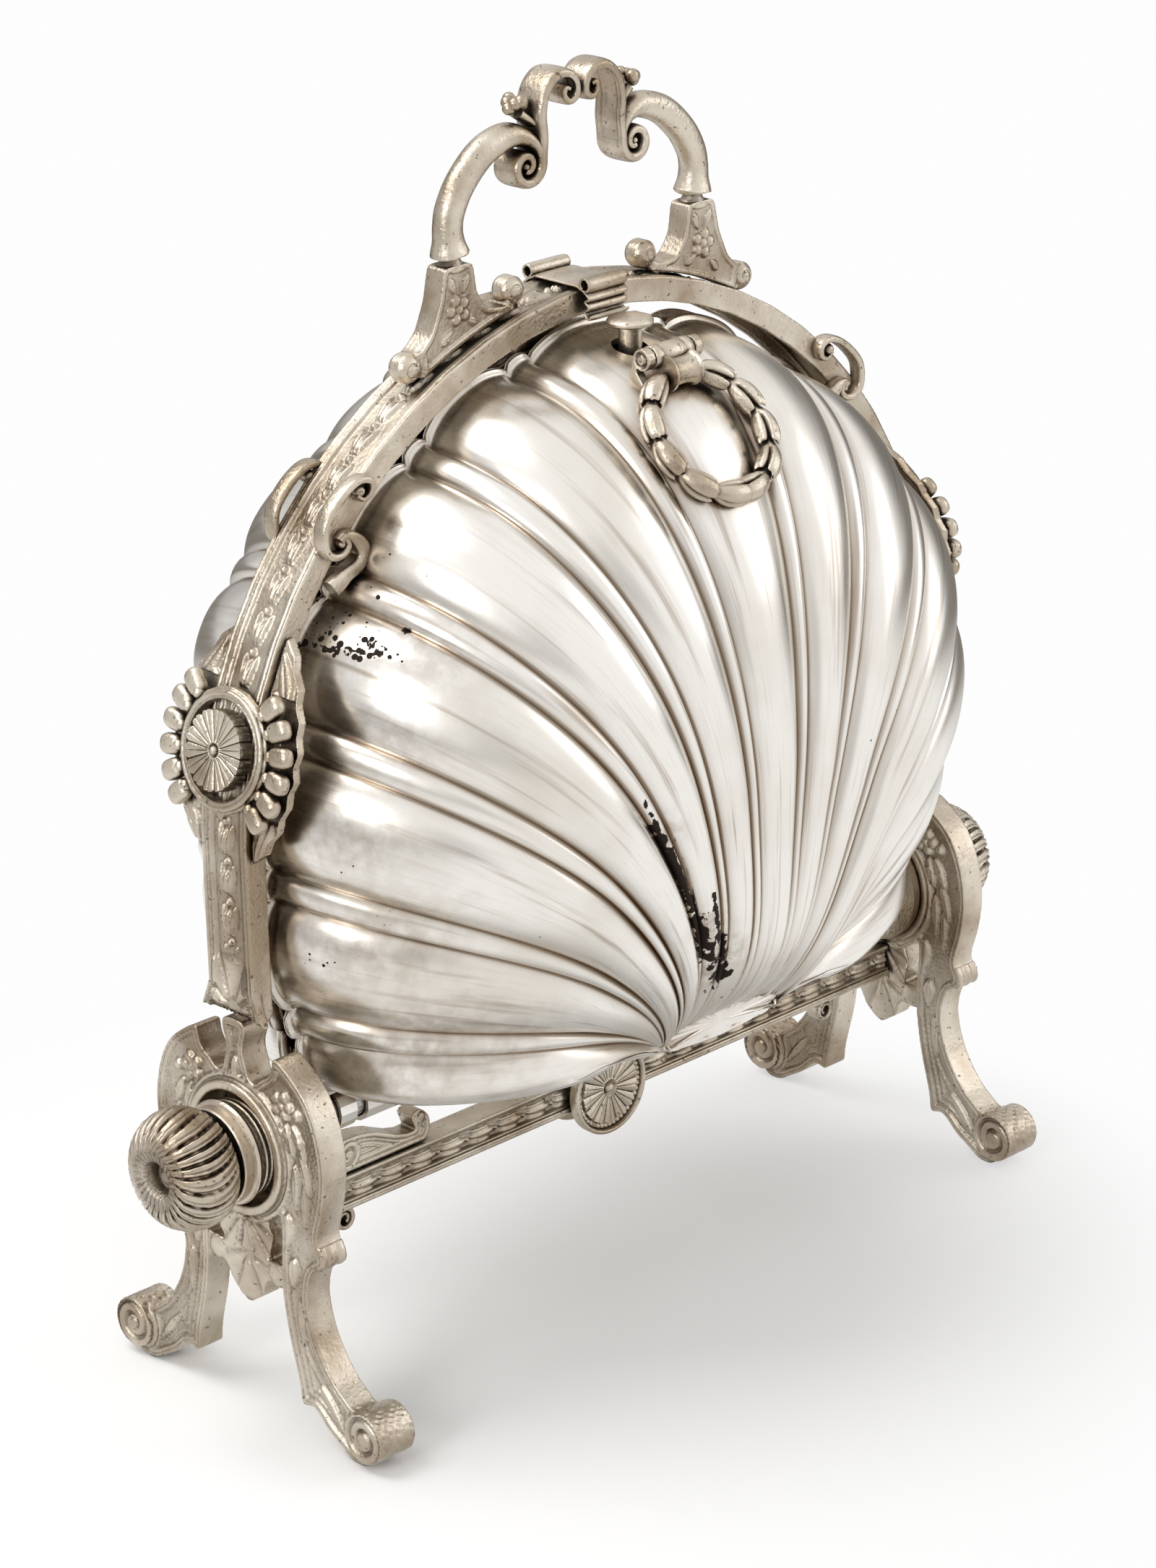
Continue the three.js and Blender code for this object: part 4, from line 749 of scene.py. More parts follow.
def supportRelief(points, normals):
    y, z = np.abs(points[:, 1]), points[:, 2]
    facing = step(0.55, 0.9, np.abs(normals[:, 0]))
    near = wallDistance(points, normals, 0)
    border = support["border"]
    height = -support["field"] * step(border - 0.15, border + 0.3, near)
    height -= 0.4 * peak(near, border * 0.45, 0.24)
    grain = np.sin(y * 5.1 + np.sin(z * 3.7)) * np.sin(z * 5.3 + np.sin(y * 4.1))
    height += support["fieldGrain"] * grain * step(border, border + 0.5, near)
    leg = step(support["legTop"], support["legTop"] - 8, z) * step(30, 27, y + 0.4 * z)
    for place, rise in support["ridges"]:
        height += rise * peak(near, place, 0.42) * leg
    shapes = spray(y, z, support)
    height = np.where((shapes > 0.02) & (near > border * 0.75), -support["field"] + shapes, height)
    rho = np.hypot(points[:, 1], z - axleHeight)
    height = np.where(rho < support["eyeRing"], 0.25 - 0.45 * peak(rho, support["eyeGroove"], 0.35), height)
    pendant = (y < 9.2) & (z < support["fanTop"])
    for top, length, rays, low in support["fans"]:
        reach = np.hypot(y, z - top) / length
        fan = 0.9 * fanRays(reach, np.arctan2(y, top - z), rays, (0.06, 0.3), (1.05, 0.9))
        height = np.where(pendant & (reach < 1.05) & (z > low) & (z < top), fan - 0.55, height)
    vee = np.abs(y - (support["fanTop"] - z) * 0.26 - 0.2)
    height = np.where(pendant & (z > 39.5) & (vee < 0.55), 0.5, height)
    *place, radius, turns = support["volute"]
    height = within(y, z, place, radius, spiral(y, z, place, radius, turns, -1, 1.0), height)
    *place, radius = support["link"]
    height = within(y, z, place, radius, dome(y, z, place, radius, 0.9) - 0.2, height)
    height *= facing
    edge = np.abs(normals[:, 0]) < 0.5
    u, v, radius = support["bud"]
    bud = (np.hypot(y - u, z - v) < radius + 0.9) & edge & (y > u - 1)
    height = np.where(bud, 0.25 + 0.3 * np.abs(np.cos(points[:, 0] * 1.1)), height)
    u, v, radius = support["roll"]
    roll = (np.hypot(y - u, z - v) < radius) & edge
    dents = np.sin(points[:, 0] * 2.3 + z * 1.7) * np.sin(y * 2.9 - z * 1.1) * np.sin(points[:, 0] * 0.9 + y)
    return np.where(roll, 0.28 * np.clip(dents, -1, 0.2), height)


for name, side in sides:
    node = f"{name}_end_support"
    carved(f"{name}CarvedSupport", node, support["voxel"], 2, supportRelief, carvedSilver, plane=0)
print("supports")


# arch: raised borders with a husk chain in the channel between them
arch = {
    "halfWidth": 7.0, "border": 2.35, "field": 1.0, "huskPitch": 9.0, "huskHalf": 2.6, "huskHeight": 1.25,
    "voxel": 0.31, "fanHeight": 13, "fanRays": 5, "footHalf": 10, "footHeight": 7,
    # slender bud between two parting leaves, with a bead above
    "bud": [0.36, 0.34, 0, 0.3, 1], "leaf": [0.42, 0.4, 0.27, 0.85], "bead": [0.86, 0.1, 0, 0.34, 0.9],
}


# points of the outer line and the length along it, from the left foot over the top
def archLine():
    t = np.linspace(0, math.pi, 1200)
    power = 2 / shell["archFullness"]
    x = -np.sign(np.cos(t)) * shell["archHalfSpan"] * np.abs(np.cos(t)) ** power
    z = archSpring + shell["archRise"] * np.sin(t) ** power
    posts = np.linspace(archBase, archSpring, 120)[:-1]
    span = np.full(len(posts), shell["archHalfSpan"])
    line = np.stack([np.concatenate([-span, x, span]), np.concatenate([posts, z, posts[::-1]])], -1)
    return line, np.concatenate([[0], np.cumsum(np.hypot(*np.diff(line, axis=0).T))])


def archRelief(points, normals):
    line, length = archLine()
    index, inset = nearest(line, points[:, [0, 2]])
    run = np.minimum(length[index], length[-1] - length[index])
    across = np.abs(points[:, 1])
    outward = step(0.5, 0.85, np.hypot(normals[:, 0], normals[:, 2])) * (inset < 1.5)
    flare = np.clip((archBase + arch["footHeight"] - points[:, 2]) / arch["footHeight"], 0, 1)
    edge = arch["halfWidth"] + flare * (arch["footHalf"] - arch["halfWidth"]) - across
    border = arch["border"]
    height = -arch["field"] * step(border - 0.1, border + 0.3, edge)
    height -= 0.42 * peak(edge, border * 0.42, 0.24)
    height -= 0.3 * peak(edge, border * 0.8, 0.16)
    t = (run / arch["huskPitch"]) % 1
    parting = 0.34 + 0.5 * np.clip(t - 0.1, 0, 1)
    domes = arch["bud"], [*arch["leaf"][:2], parting, *arch["leaf"][2:]], arch["bead"]
    chain = husk(t, points[:, 1], arch["huskHalf"], arch["huskHeight"], domes)
    fanZ = points[:, 2] - archBase - 1.5
    ray = np.arctan2(across, np.maximum(fanZ, 0.01))
    reach = np.hypot(across, fanZ) / arch["fanHeight"]
    fan = 1.1 * fanRays(reach, ray, arch["fanRays"], (0.1, 0.3), (1.0, 0.85))
    low = points[:, 2] < archBase + arch["fanHeight"] + 2
    shapes = np.where(low, fan * (fanZ > 0), chain)
    height += np.where(edge > border * 0.9, shapes, 0)
    return height * outward


carved("carvedArch", "arch_frame", arch["voxel"], 1, archRelief, archSilver, plane=1)
print("arch")


# stretcher: double border rims and a chain of tulips running out from the middle
stretcher = {
    "rim": 1.0, "step": 1.8, "field": 0.8, "pitch": 8.6, "half": 2.0, "voxel": 0.26, "tulipHeight": 1.2,
    "scroll": [75.9, 36.0, 2.7, 0.9],
    # one bell with an arm to each side and a bead
    "tulip": [[0.5, 0.44, 0, 0.52, 1], [0.42, 0.36, 0.62, 0.34, 0.75], [0.97, 0.07, 0, 0.3, 0.8]],
}


def stretcherRelief(points, normals):
    low, high = boxOf("stretcher_bar")
    near = np.minimum(points[:, 2] - low[2], high[2] - points[:, 2])
    facing = step(0.6, 0.9, np.abs(normals[:, 1]))
    height = -0.35 * peak(near, stretcher["rim"], 0.18)
    height -= stretcher["field"] * step(stretcher["step"] - 0.1, stretcher["step"] + 0.2, near)
    t = (np.abs(points[:, 0]) / stretcher["pitch"] + 0.35) % 1
    across = points[:, 2] - (low[2] + high[2]) / 2
    chain = husk(1 - t, across, stretcher["half"], stretcher["tulipHeight"], stretcher["tulip"])
    return facing * np.where(near > stretcher["step"], height + chain, height)


carved("carvedStretcher", "stretcher_bar", stretcher["voxel"], 1, stretcherRelief, carvedSilver)
x, z, outer, inner = stretcher["scroll"]
points, faces = sweptBand(curlStations((x, z), (outer, inner), 60, 1.5, (0.75, 0.55), (2.2, 1.7)), 0.7)
for name, side in sides:
    made(f"{name}BarScroll", points * (side, 1, 1), faces, 60, "stretcher_bar")


# knobs with spiral gadroons and a pitted flat face, and turned drums; a profile is [radius, place along]
knob = {
    "radius": 13.5, "length": 15.7, "gadroons": 24, "twist": 0.42, "depth": 1.7, "steps": 480, "rows": 84,
    "profile": [[0.5, 0], [0.74, 0.03], [0.9, 0.15], [0.985, 0.32], [1.0, 0.5], [0.95, 0.68],
                [0.84, 0.84], [0.7, 0.94], [0.6, 0.97], [0.5, 0.985], [0.4, 0.975], [0.31, 0.955],
                [0.26, 0.86], [0.24, 0.72], [0.16, 0.7], [0.14, 0.78], [0.07, 0.82], [0.02, 0.825]],
}
drum = {
    "inner": [[4.1, 0], [13.6, 0], [13.6, 2], [10.7, 2.2]],
    "outer": [[10.7, 7.4], [10.45, 7.1], [10.7, 6.8], [10.7, 6.1], [10.45, 5.8], [10.7, 5.5], [10.7, 4.4],
              [11.3, 4.1], [11.6, 3.4], [11.3, 2.7], [10.7, 2.4], [10.7, 0.3], [10.4, 0], [4.1, 0]],
}


def knobMesh(side):
    start = boxOf("right_knob")[0][0]
    profile = np.array(knob["profile"])
    t = np.linspace(0, 1, len(profile))
    fine = np.linspace(0, 1, knob["rows"])
    radius = np.interp(fine, t, profile[:, 0]) * knob["radius"]
    along = np.interp(fine, t, profile[:, 1]) * knob["length"]
    for values in (radius, along):
        values[1:-1] = (values[:-2] + 2 * values[1:-1] + values[2:]) / 4
    share = radius / knob["radius"]
    turn = circle(knob["steps"])[None, :]
    row = fine[:, None]
    bend = side * knob["twist"] * np.sin(row * 5.2) + 0.05 * np.sin(turn * 5)
    phase = (knob["gadroons"] * (turn + bend) / (2 * math.pi)) % 1
    ragged = 1 + 0.35 * np.sin(turn * 31 + row * 40) * np.sin(row * 90)
    groove = peak(phase, 0.5, 0.15) * ragged + 0.3 * peak(phase, 0.12, 0.06)
    swell = (step(0.46, 0.56, share) * step(0, 0.05, fine))[:, None]
    pits = (row > 0.4) & (row < 0.7) & (swell < 0.5)
    dents = np.sin(turn * 67 + row * 310) * np.sin(turn * 41 - row * 190)
    radii = radius[:, None] * (1 - 0.02 * np.cos(phase * 2 * math.pi) * swell)
    radii -= knob["depth"] * groove * swell
    places = side * (start + along[:, None] - 0.3 * pits * np.clip(dents, 0, 1))
    rings = np.stack([places + 0 * radii, radii * np.cos(turn), axleHeight + radii * np.sin(turn)], -1)
    dark = step(0.62, 0.5, share)[:, None] * (row > 0.3) * 1.7 + 0.9 * np.clip(groove, 0, 1) * swell
    return *ringStack(rings), dark.ravel()


for name, side in sides:
    points, faces, dark = knobMesh(side)
    dress(marked(newObject(f"{name}GadroonedKnob", points, faces), dark), f"{name}_knob", carvedSilver)
    low, high = boxOf("right_pivot_drum")
    profile = [[r, side * (low[0] + x)] for r, x in drum["inner"]]
    profile += [[r, side * (high[0] - x)] for r, x in drum["outer"]]
    made(f"{name}TurnedDrum", *lathe(profile, 0, (0, 0, axleHeight)), 35, f"{name}_pivot_drum")
print("knobs and drums")


# bosses on the posts: scalloped wings round a recessed collar, and a petalled disc
boss = {
    "x": 101.5, "z": 151, "tilt": 14, "collarInner": 10.6, "collarOuter": 13.2, "wings": 12.5,
    "barrelAngles": (-44, -27, -9, 9, 27, 44), "barrelAt": 16.7, "barrelSize": (3.0, 2.3, 1.7),
    "barrelDepth": -0.5, "beadAt": 14.0, "beadRadius": 1.25, "voxel": 0.28, "discRadius": 8.5,
    "discThickness": 2.6, "discStand": 1.3, "petals": 14,
}
tiltCos, tiltSin = math.cos(boss["tilt"] * degree), math.sin(boss["tilt"] * degree)


def bossFrame(points, side):
    x = points[:, 0] * side - boss["x"]
    z = points[:, 2] - boss["z"]
    return points[:, 1], z * tiltCos - x * tiltSin


def bossRelief(side):
    def relief(points, normals):
        u, v = np.abs(bossFrame(points, side))
        facing = step(0.15, 0.6, normals[:, 0] * side * tiltCos + normals[:, 2] * tiltSin)
        rho = np.hypot(u, v)
        rise = points[:, 2] - archSpring - 18.7
        tips = leaf(u, v, (13.6, 12), (8.4, 22.5), 2.2, 1.1, 0.4)
        tips = np.maximum(tips, dome(u, v, (9.6, 13.2), 1.7, 1.0)) - 0.35
        wing = step(boss["collarOuter"] + 0.1, boss["collarOuter"] + 0.6, rho) * (u > 7.4)
        height = wing * np.where(np.abs(rise) > boss["wings"], tips, -0.7)
        height -= 0.3 * peak(rho - boss["collarInner"], 0.7, 0.25)
        height -= 0.3 * peak(rho - boss["collarOuter"], -0.35, 0.25)
        return height * facing
    return relief


def bossRecess(side):
    def deep(points):
        return 2.4 * (np.hypot(*bossFrame(points, side)) < boss["collarInner"] + 0.25)
    return deep


# rounded lobes round the collar, each with a bead at its root
def barrelMesh(side):
    lobe, lobeFaces = ball((0, 0, 0), 1, rows=14, steps=28)
    x, y, z = (np.sign(lobe) * np.abs(lobe) ** np.array([0.62, 0.8, 0.8]) * boss["barrelSize"]).T
    bead = ball((0, 0, 0.5), boss["beadRadius"])
    parts = []
    for way in (-1, 1):
        for angle in boss["barrelAngles"]:
            c, s = math.cos(angle * degree), math.sin(angle * degree)
            turned = np.stack([x * c - y * s, x * s + y * c, z], -1)
            for reach, (points, faces) in ((boss["barrelAt"], (turned, lobeFaces)), (boss["beadAt"], bead)):
                u = (points[:, 0] + reach * c) * way
                v = points[:, 1] + reach * s
                w = points[:, 2] + boss["barrelDepth"]
                outward = boss["x"] + w * tiltCos - v * tiltSin
                upward = boss["z"] + v * tiltCos + w * tiltSin
                parts.append((np.stack([side * outward, u, upward], -1), faces))
    return joined(parts)


def petalHeight(petals, depth, inner, eye):
    def height(share, turn):
        phase = (turn * petals / (2 * math.pi)) % 1
        ridge = np.abs(np.sin(math.pi * phase))
        leafy = depth * (ridge ** 0.38 * (0.35 + 0.65 * share) - 0.3 * peak(phase, 0.5, 0.05))
        out = leafy * step(inner, inner + 0.06, share) + 0.75 * depth * peak(share, inner, 0.035)
        return out + eye * hill(share / (inner * 0.62))
    return height


def petalNotch(petals, depth):
    def notch(turn):
        phase = (turn * petals / (2 * math.pi)) % 1
        return depth * ((1 - np.abs(np.sin(math.pi * phase))) ** 3 + 0.3 * peak(phase, 0.5, 0.07))
    return notch


for name, side in sides:
    node = f"{name}_boss_collar"
    relief, deep = bossRelief(side), bossRecess(side)
    carved(f"{name}ScallopedBoss", node, boss["voxel"], 2, relief, carvedSilver, deep=deep)
    made(f"{name}BossLobes", *barrelMesh(side), 60, node)
    node = f"{name}_boss_rosette"
    points, faces = dial(boss["discRadius"], petalHeight(boss["petals"], 0.8, 0.2, 1.2),
                         petalNotch(boss["petals"], 0.1), boss["discThickness"])
    points = turnedTo(points, (0, side, 0), (-side * tiltSin, 0, tiltCos),
                      middleOf(node) + np.array([side * tiltCos, 0, tiltSin]) * boss["discStand"])
    made(f"{name}BossFlower", points, faces, 60, node)
print("bosses")


# rosettes on the stretcher: petals, a beaded ring and a raised rim
rosette = {"radius": 10.9, "petals": 14, "beads": 46, "front": 6.1, "thickness": 1.6}


def rosetteHeight(share, turn):
    petals = petalHeight(rosette["petals"], 0.75, 0.24, 1.1)(share / 0.78, turn) - 0.35
    beads = 0.15 + 0.4 * np.abs(np.sin(turn * rosette["beads"] / 2)) * hill((share - 0.845) / 0.045)
    rim = 0.85 * hill((share - 0.95) / 0.06)
    return np.where(share < 0.78, petals, np.where(share < 0.895, beads - 0.4, rim))


def noNotch(turn):
    return 0 * turn


for name, side in ends:
    node = f"{name}_stretcher_rosette"
    points, faces = dial(rosette["radius"], rosetteHeight, noNotch, rosette["thickness"])
    points = turnedTo(points, (-side, 0, 0), (0, 0, 1), (0, side * rosette["front"], middleOf(node)[2]))
    made(f"{name}BeadedRosette", points, faces, 50, node)


# scroll brackets on the stretcher
bracket = {"voxel": 0.22, "volute": [74.6, 51.2, 3.4, 1.9], "hook": [53.6, 53.2, 1.7, 1.3], "border": 0.8}


def bracketRelief(points, normals):
    x, z = np.abs(points[:, 0]), points[:, 2]
    facing = step(0.6, 0.9, np.abs(normals[:, 1]))
    near = wallDistance(points, normals, 1)
    height = -0.5 * step(bracket["border"], bracket["border"] + 0.3, near)
    height += 0.45 * np.clip(np.sin((near - 1.2) * 4.6), 0, 1) * step(1.2, 1.5, near)
    for *place, radius, turns in (bracket["volute"], bracket["hook"]):
        height = within(x, z, place, radius, spiral(x, z, place, radius, turns, 1, 0.6), height)
    return height * facing


for name, side in sides:
    node = f"{name}_stretcher_bracket"
    carved(f"{name}ScrollBracket", node, bracket["voxel"], 3, bracketRelief, castSilver)
print("stretcher trim")


# clasps beside the shoulders: a band that curls at both ends, and a leaf that leaves its lower curl
clasp = {
    "middle": 7.7,
    "band": [[70.6, 199.9, 0.5, 1.3], [68.9, 198.7, 0.6, 1.5], [66.9, 199.7, 0.8, 1.7],
             [66.8, 202.0, 0.9, 1.9], [69.2, 203.0, 0.9, 1.9], [72.4, 202.1, 0.9, 1.9],
             [76.0, 199.5, 0.95, 1.9], [79.0, 196.1, 0.95, 1.9], [79.8, 192.9, 0.95, 1.9],
             [79.3, 189.9, 0.95, 1.9], [77.4, 188.4, 0.95, 1.9], [75.0, 188.5, 0.85, 1.8],
             [73.5, 190.0, 0.75, 1.7], [74.2, 191.6, 0.7, 1.6], [75.4, 191.1, 0.6, 1.4]],
    "leaf": [[75.8, 191.5, 0.6, 1.5], [74.0, 192.3, 0.9, 1.8], [71.9, 191.3, 1.4, 2.0],
             [69.9, 189.1, 1.7, 2.1], [69.6, 186.9, 1.7, 2.1], [71.4, 185.1, 1.6, 2.1],
             [74.0, 184.1, 1.7, 2.1], [76.2, 182.8, 2.0, 2.0], [78.0, 181.6, 2.1, 1.7]],
    "balls": [[69.7, 200.6, 1.3], [74.9, 190.5, 1.0]],
}
claspParts = [sweptBand(smoothLine(clasp["band"]), 0.7), sweptBand(smoothLine(clasp["leaf"]), 0.6)]
claspParts += [ball((x, 0, z), radius, (1, 1.4, 1)) for x, z, radius in clasp["balls"]]
points, faces = joined(claspParts)
for end, way in ends:
    for name, side in sides:
        place = (points + (0, clasp["middle"], 0)) * (side, way, 1)
        made(f"{end}{name.capitalize()}Scroll", place, faces, 60, f"{end}_{name}_clasp")


# feet of the handle: a panel with a flower, and a ball to each side
foot = {
    "voxel": 0.25, "x": 35.5, "inner": 16, "outer": 13.4, "ballRadius": 3.35, "border": 0.95, "field": 0.5,
    "flower": [35.9, 230.4, 3.5, 5], "sprayHeights": (1.25, 1.0, 0.9, 0.2),
    "leaves": [[[33.0, 237.6], [34.6, 233.6], 1.1], [[38.2, 237.6], [36.6, 233.6], 1.1],
               [[30.8, 226.6], [34.0, 228.6], 1.0], [[40.6, 223.6], [37.8, 226.6], 1.0]],
}


def archTop(x):
    power = shell["archFullness"]
    return archSpring + shell["archRise"] * (1 - (np.abs(x) / shell["archHalfSpan"]) ** power) ** (1 / power)


def footBalls():
    out = []
    for x in (foot["x"] - foot["inner"], foot["x"] + foot["outer"]):
        slope = archTop(x + 0.5) - archTop(x - 0.5)
        out.append((x, archTop(x) + 0.35 + foot["ballRadius"] * math.hypot(1, slope)))
    return out


# the ends are drawn in to true balls
def footShape(points):
    points = points.copy()
    radius = foot["ballRadius"]
    for x, z in footBalls():
        away = np.stack([np.abs(points[:, 0]) - x, points[:, 1], points[:, 2] - z], -1)
        length = np.linalg.norm(away, axis=1)
        own = (np.hypot(away[:, 0], away[:, 2]) < radius + 0.15) & (length > radius)
        away *= np.where(own, radius / np.maximum(length, 1e-6), 1)[:, None]
        side = np.sign(points[:, 0])
        moved = np.stack([side * (away[:, 0] + x), away[:, 1], away[:, 2] + z], -1)
        points = np.where(own[:, None], moved, points)
    return points


def footRelief(points, normals):
    x, z = np.abs(points[:, 0]), points[:, 2]
    facing = step(0.7, 0.92, np.abs(normals[:, 1]))
    near = wallDistance(points, normals, 1)
    height = -foot["field"] * step(foot["border"], foot["border"] + 0.3, near)
    shapes = spray(x, z, foot)
    height = np.where(shapes > 0.02, shapes - foot["field"], height)
    for u, v in footBalls():
        away = np.hypot(x - u, z - v)
        curl = spiral(x, z, (u, v), 2.3, 1.3, -1, 0.35) * (away < 2.2)
        height = np.where(away < foot["ballRadius"] + 0.6, curl, height)
    return height * facing


for name, side in sides:
    node = f"{name}_handle_foot"
    carved(f"{name}HandleFoot", node, foot["voxel"], 2, footRelief, carvedSilver, shape=footShape, plane=1)


# carrying handle: tapering arms that end in curls, and a strap of two lobes between them
handle = {
    "arm": [[35.5, 241.2, 2.2, 2.2], [35.5, 241.7, 3.9, 3.8], [35.6, 242.4, 3.95, 3.8],
            [35.8, 244.6, 3.35, 3.2], [35.9, 247.5, 3.15, 3.0], [35.0, 251.2, 3.2, 3.0],
            [31.8, 256.2, 3.25, 3.0], [26.0, 261.2, 3.2, 3.0], [19.4, 263.4, 2.8, 3.2],
            [15.2, 262.6, 2.1, 3.5], [12.6, 260.4, 1.4, 3.8], [11.7, 257.4, 0.9, 3.9]],
    "curl": [15.73, 256.7, 4.1, 0.95],
    "strap": [[11.5, 259.0, 1.3, 4.0], [11.2, 262.4, 1.3, 4.0], [11.5, 267.2, 1.3, 4.0],
              [10.3, 271.6, 1.3, 4.0], [7.2, 274.38, 1.3, 4.0], [3.6, 274.2, 1.2, 3.9],
              [1.5, 272.0, 1.1, 3.8], [1.5, 269.4, 1.0, 3.7], [3.4, 268.4, 0.9, 3.6],
              [4.8, 269.8, 0.8, 3.5], [4.3, 271.3, 0.7, 3.4], [3.2, 271.0, 0.6, 3.3]],
    "stem": [[11.6, 264.5, 0.9, 2.6], [13.8, 266.2, 1.0, 2.3], [16.0, 267.8, 1.2, 2.0]],
    "flower": [16.0, 268.4, 2.0],
    "petals": ((0.3, 0), (1.5, -0.9), (1.5, 0.9), (2.7, 0), (0.9, -0.5), (0.9, 0.5)), "waistBase": 241.4,
    "waist": [[2.9, -3.2], [3.4, -2.9], [3.5, -2.4], [2.5, -1.4], [1.9, -0.3], [2.0, 0.4], [2.5, 1.0]],
}


def handleMesh():
    x, z, outer, inner = handle["curl"]
    curl = curlStations((x, z), (outer, inner), 180, 1.3, (1.3, 0.8), (4.0, 3.1))[::-1]
    line = np.vstack([curl, smoothLine(np.vstack([curl[-1:], handle["strap"]]))[1:]])
    share = np.arange(len(line)) / len(line)
    strap = sweptBand(line, 0.55, 48, 0.8 * step(0.3, 0.42, share) * step(0.8, 0.7, share))
    waist = lathe([[r, handle["waistBase"] + h] for r, h in handle["waist"]], 2, (foot["x"], 0, 0), 40)
    u, v, radius = handle["flower"]
    petals = [ball((u + radius * math.cos(a), 2.3 * math.sin(b), v + radius * math.sin(a)), radius * 0.72)
              for a, b in handle["petals"]]
    arm, stem = (sweptBand(smoothLine(handle[key]), 0.9) for key in ("arm", "stem"))
    parts = [arm, strap, ball((x, 0, z), 1.2, (1, 2.8, 1)), waist, stem] + petals
    return joined([(points * (side, 1, 1), faces) for side in (-1, 1) for points, faces in parts])


made("scrolledHandle", *handleMesh(), 50, "carrying_handle")
print("handle")


# wreath rings: tulip buds strung from a ribbon-bound collar under the barrel
wreath = {
    "radius": 14.6, "lean": 40, "drop": 18.9, "pinY": 27.6, "pinZ": 218.485, "buds": 5, "firstAngle": 17,
    "steps": 60,
    "profile": [[0, 0.75], [0.06, 1.0], [0.16, 1.5], [0.3, 2.2], [0.48, 2.7], [0.66, 2.85], [0.84, 2.75],
                [0.95, 2.5], [1.0, 2.15], [0.97, 1.8], [0.86, 1.4], [0.74, 0.9], [0.7, 0.05]],
    "collar": [[0.3, -4.1], [3.1, -4.1], [3.9, -3.9], [3.9, -3.3], [3.4, -3.1], [3.25, -2.6],
               [3.05, -2.3], [3.15, -1.9], [2.95, -1.5], [3.05, -1.1], [2.9, -0.7], [3.0, -0.3],
               [2.9, 0.1], [3.0, 0.5], [2.9, 0.9], [3.05, 1.3], [2.95, 1.7], [3.15, 2.1], [3.1, 2.5],
               [3.3, 2.9], [3.5, 3.2], [3.9, 3.4], [3.9, 3.9], [3.1, 4.1], [0.3, 4.1]],
    # half of the barrel over the pin, from its end inwards; the other half mirrors it
    "barrel": [[0.3, 4.0], [1.3, 4.1], [1.35, 5.6], [2.2, 5.6], [2.55, 5.3], [2.55, 3.4], [2.4, 3.2],
               [2.55, 3.0]],
    "block": [[-2.9, -1.7], [2.9, -1.7], [2.9, 1.7], [-2.9, 1.7]], "blockSpan": (1.4, 4.8),
}


def wreathMesh():
    lean = wreath["lean"] * degree
    down = np.array([0, -math.sin(lean), -math.cos(lean)])
    face = np.array([0, -down[2], down[1]])
    pin = np.array([0, -wreath["pinY"], wreath["pinZ"]])
    middle = pin + down * wreath["drop"]
    turn = circle(wreath["steps"])
    leafEdge = np.abs(((turn * 3 / (2 * math.pi) + 0.5) % 1) - 0.5)
    gap = peak(leafEdge, 0, 0.085)
    vein = peak(leafEdge, 0.5, 0.05)
    rows = smoothLine(wreath["profile"], 4)
    pitch = (180 - wreath["firstAngle"]) / wreath["buds"]
    parts = []
    for side in (-1, 1):
        for k in range(wreath["buds"]):
            start = wreath["firstAngle"] + pitch * k - 2
            rings = []
            for t, r in rows:
                a = side * (start + pitch * 1.12 * t * (1 - 0.3 * gap * t * t + 0.05 * vein * t * t)) * degree
                radius = r * (1 - 0.42 * gap * step(0.1, 0.4, t) + 0.05 * vein * t)
                out = np.stack([np.sin(a), 0 * a, 0 * a], -1) - np.cos(a)[:, None] * down
                ring = middle + out * (wreath["radius"] + radius * np.cos(turn))[:, None]
                rings.append(ring + face * (radius * np.sin(turn))[:, None])
            parts.append(ringStack(np.array(rings)))
    parts.append(lathe(wreath["collar"], 0, middle - down * wreath["radius"], 120))
    barrel = [[r, -x] for r, x in wreath["barrel"]] + wreath["barrel"][::-1]
    parts.append(lathe(barrel, 0, pin, 64))
    block = np.array(wreath["block"])
    rings = [block[:, :1] * (1, 0, 0) + face * block[:, 1:] + pin + down * k for k in wreath["blockSpan"]]
    parts.append(ringStack(np.array(rings)))
    return joined(parts)


points, faces = wreathMesh()
for name, side in ends:
    turned = points * (-side, -side, 1)
    made(f"{name}TulipWreath", turned, faces, 55, f"{name}_wreath_ring", body=f"{name}_pull_ring")
print("wreaths")


# latch: a sheet with both edges rolled up, and a ribbed clip under each roll
latch = {
    "halfLength": 5.8, "roll": [8.55, 230.5, 1.45, 1.15],
    # [place out from the middle, z, half thickness]
    "sheet": [[0, 229.9, 0.4], [3, 229.9, 0.4], [6.2, 229.85, 0.4], [7.4, 229.4, 0.4]],
    "clip": [[8.3, 229.0, 0.35], [9.3, 228.4, 0.4], [9.9, 227.6, 0.4], [8.7, 226.9, 0.4],
             [9.6, 226.1, 0.4], [9.6, 225.4, 0.4], [8.6, 224.8, 0.4], [8.7, 223.9, 0.4],
             [9.7, 223.3, 0.4], [10.4, 223.9, 0.35]],
}


# the band lies across the arch
def latchPiece(name, node, band):
    points, faces = band
    dress(newObject(name, points[:, [1, 0, 2]], faces, 50), node)


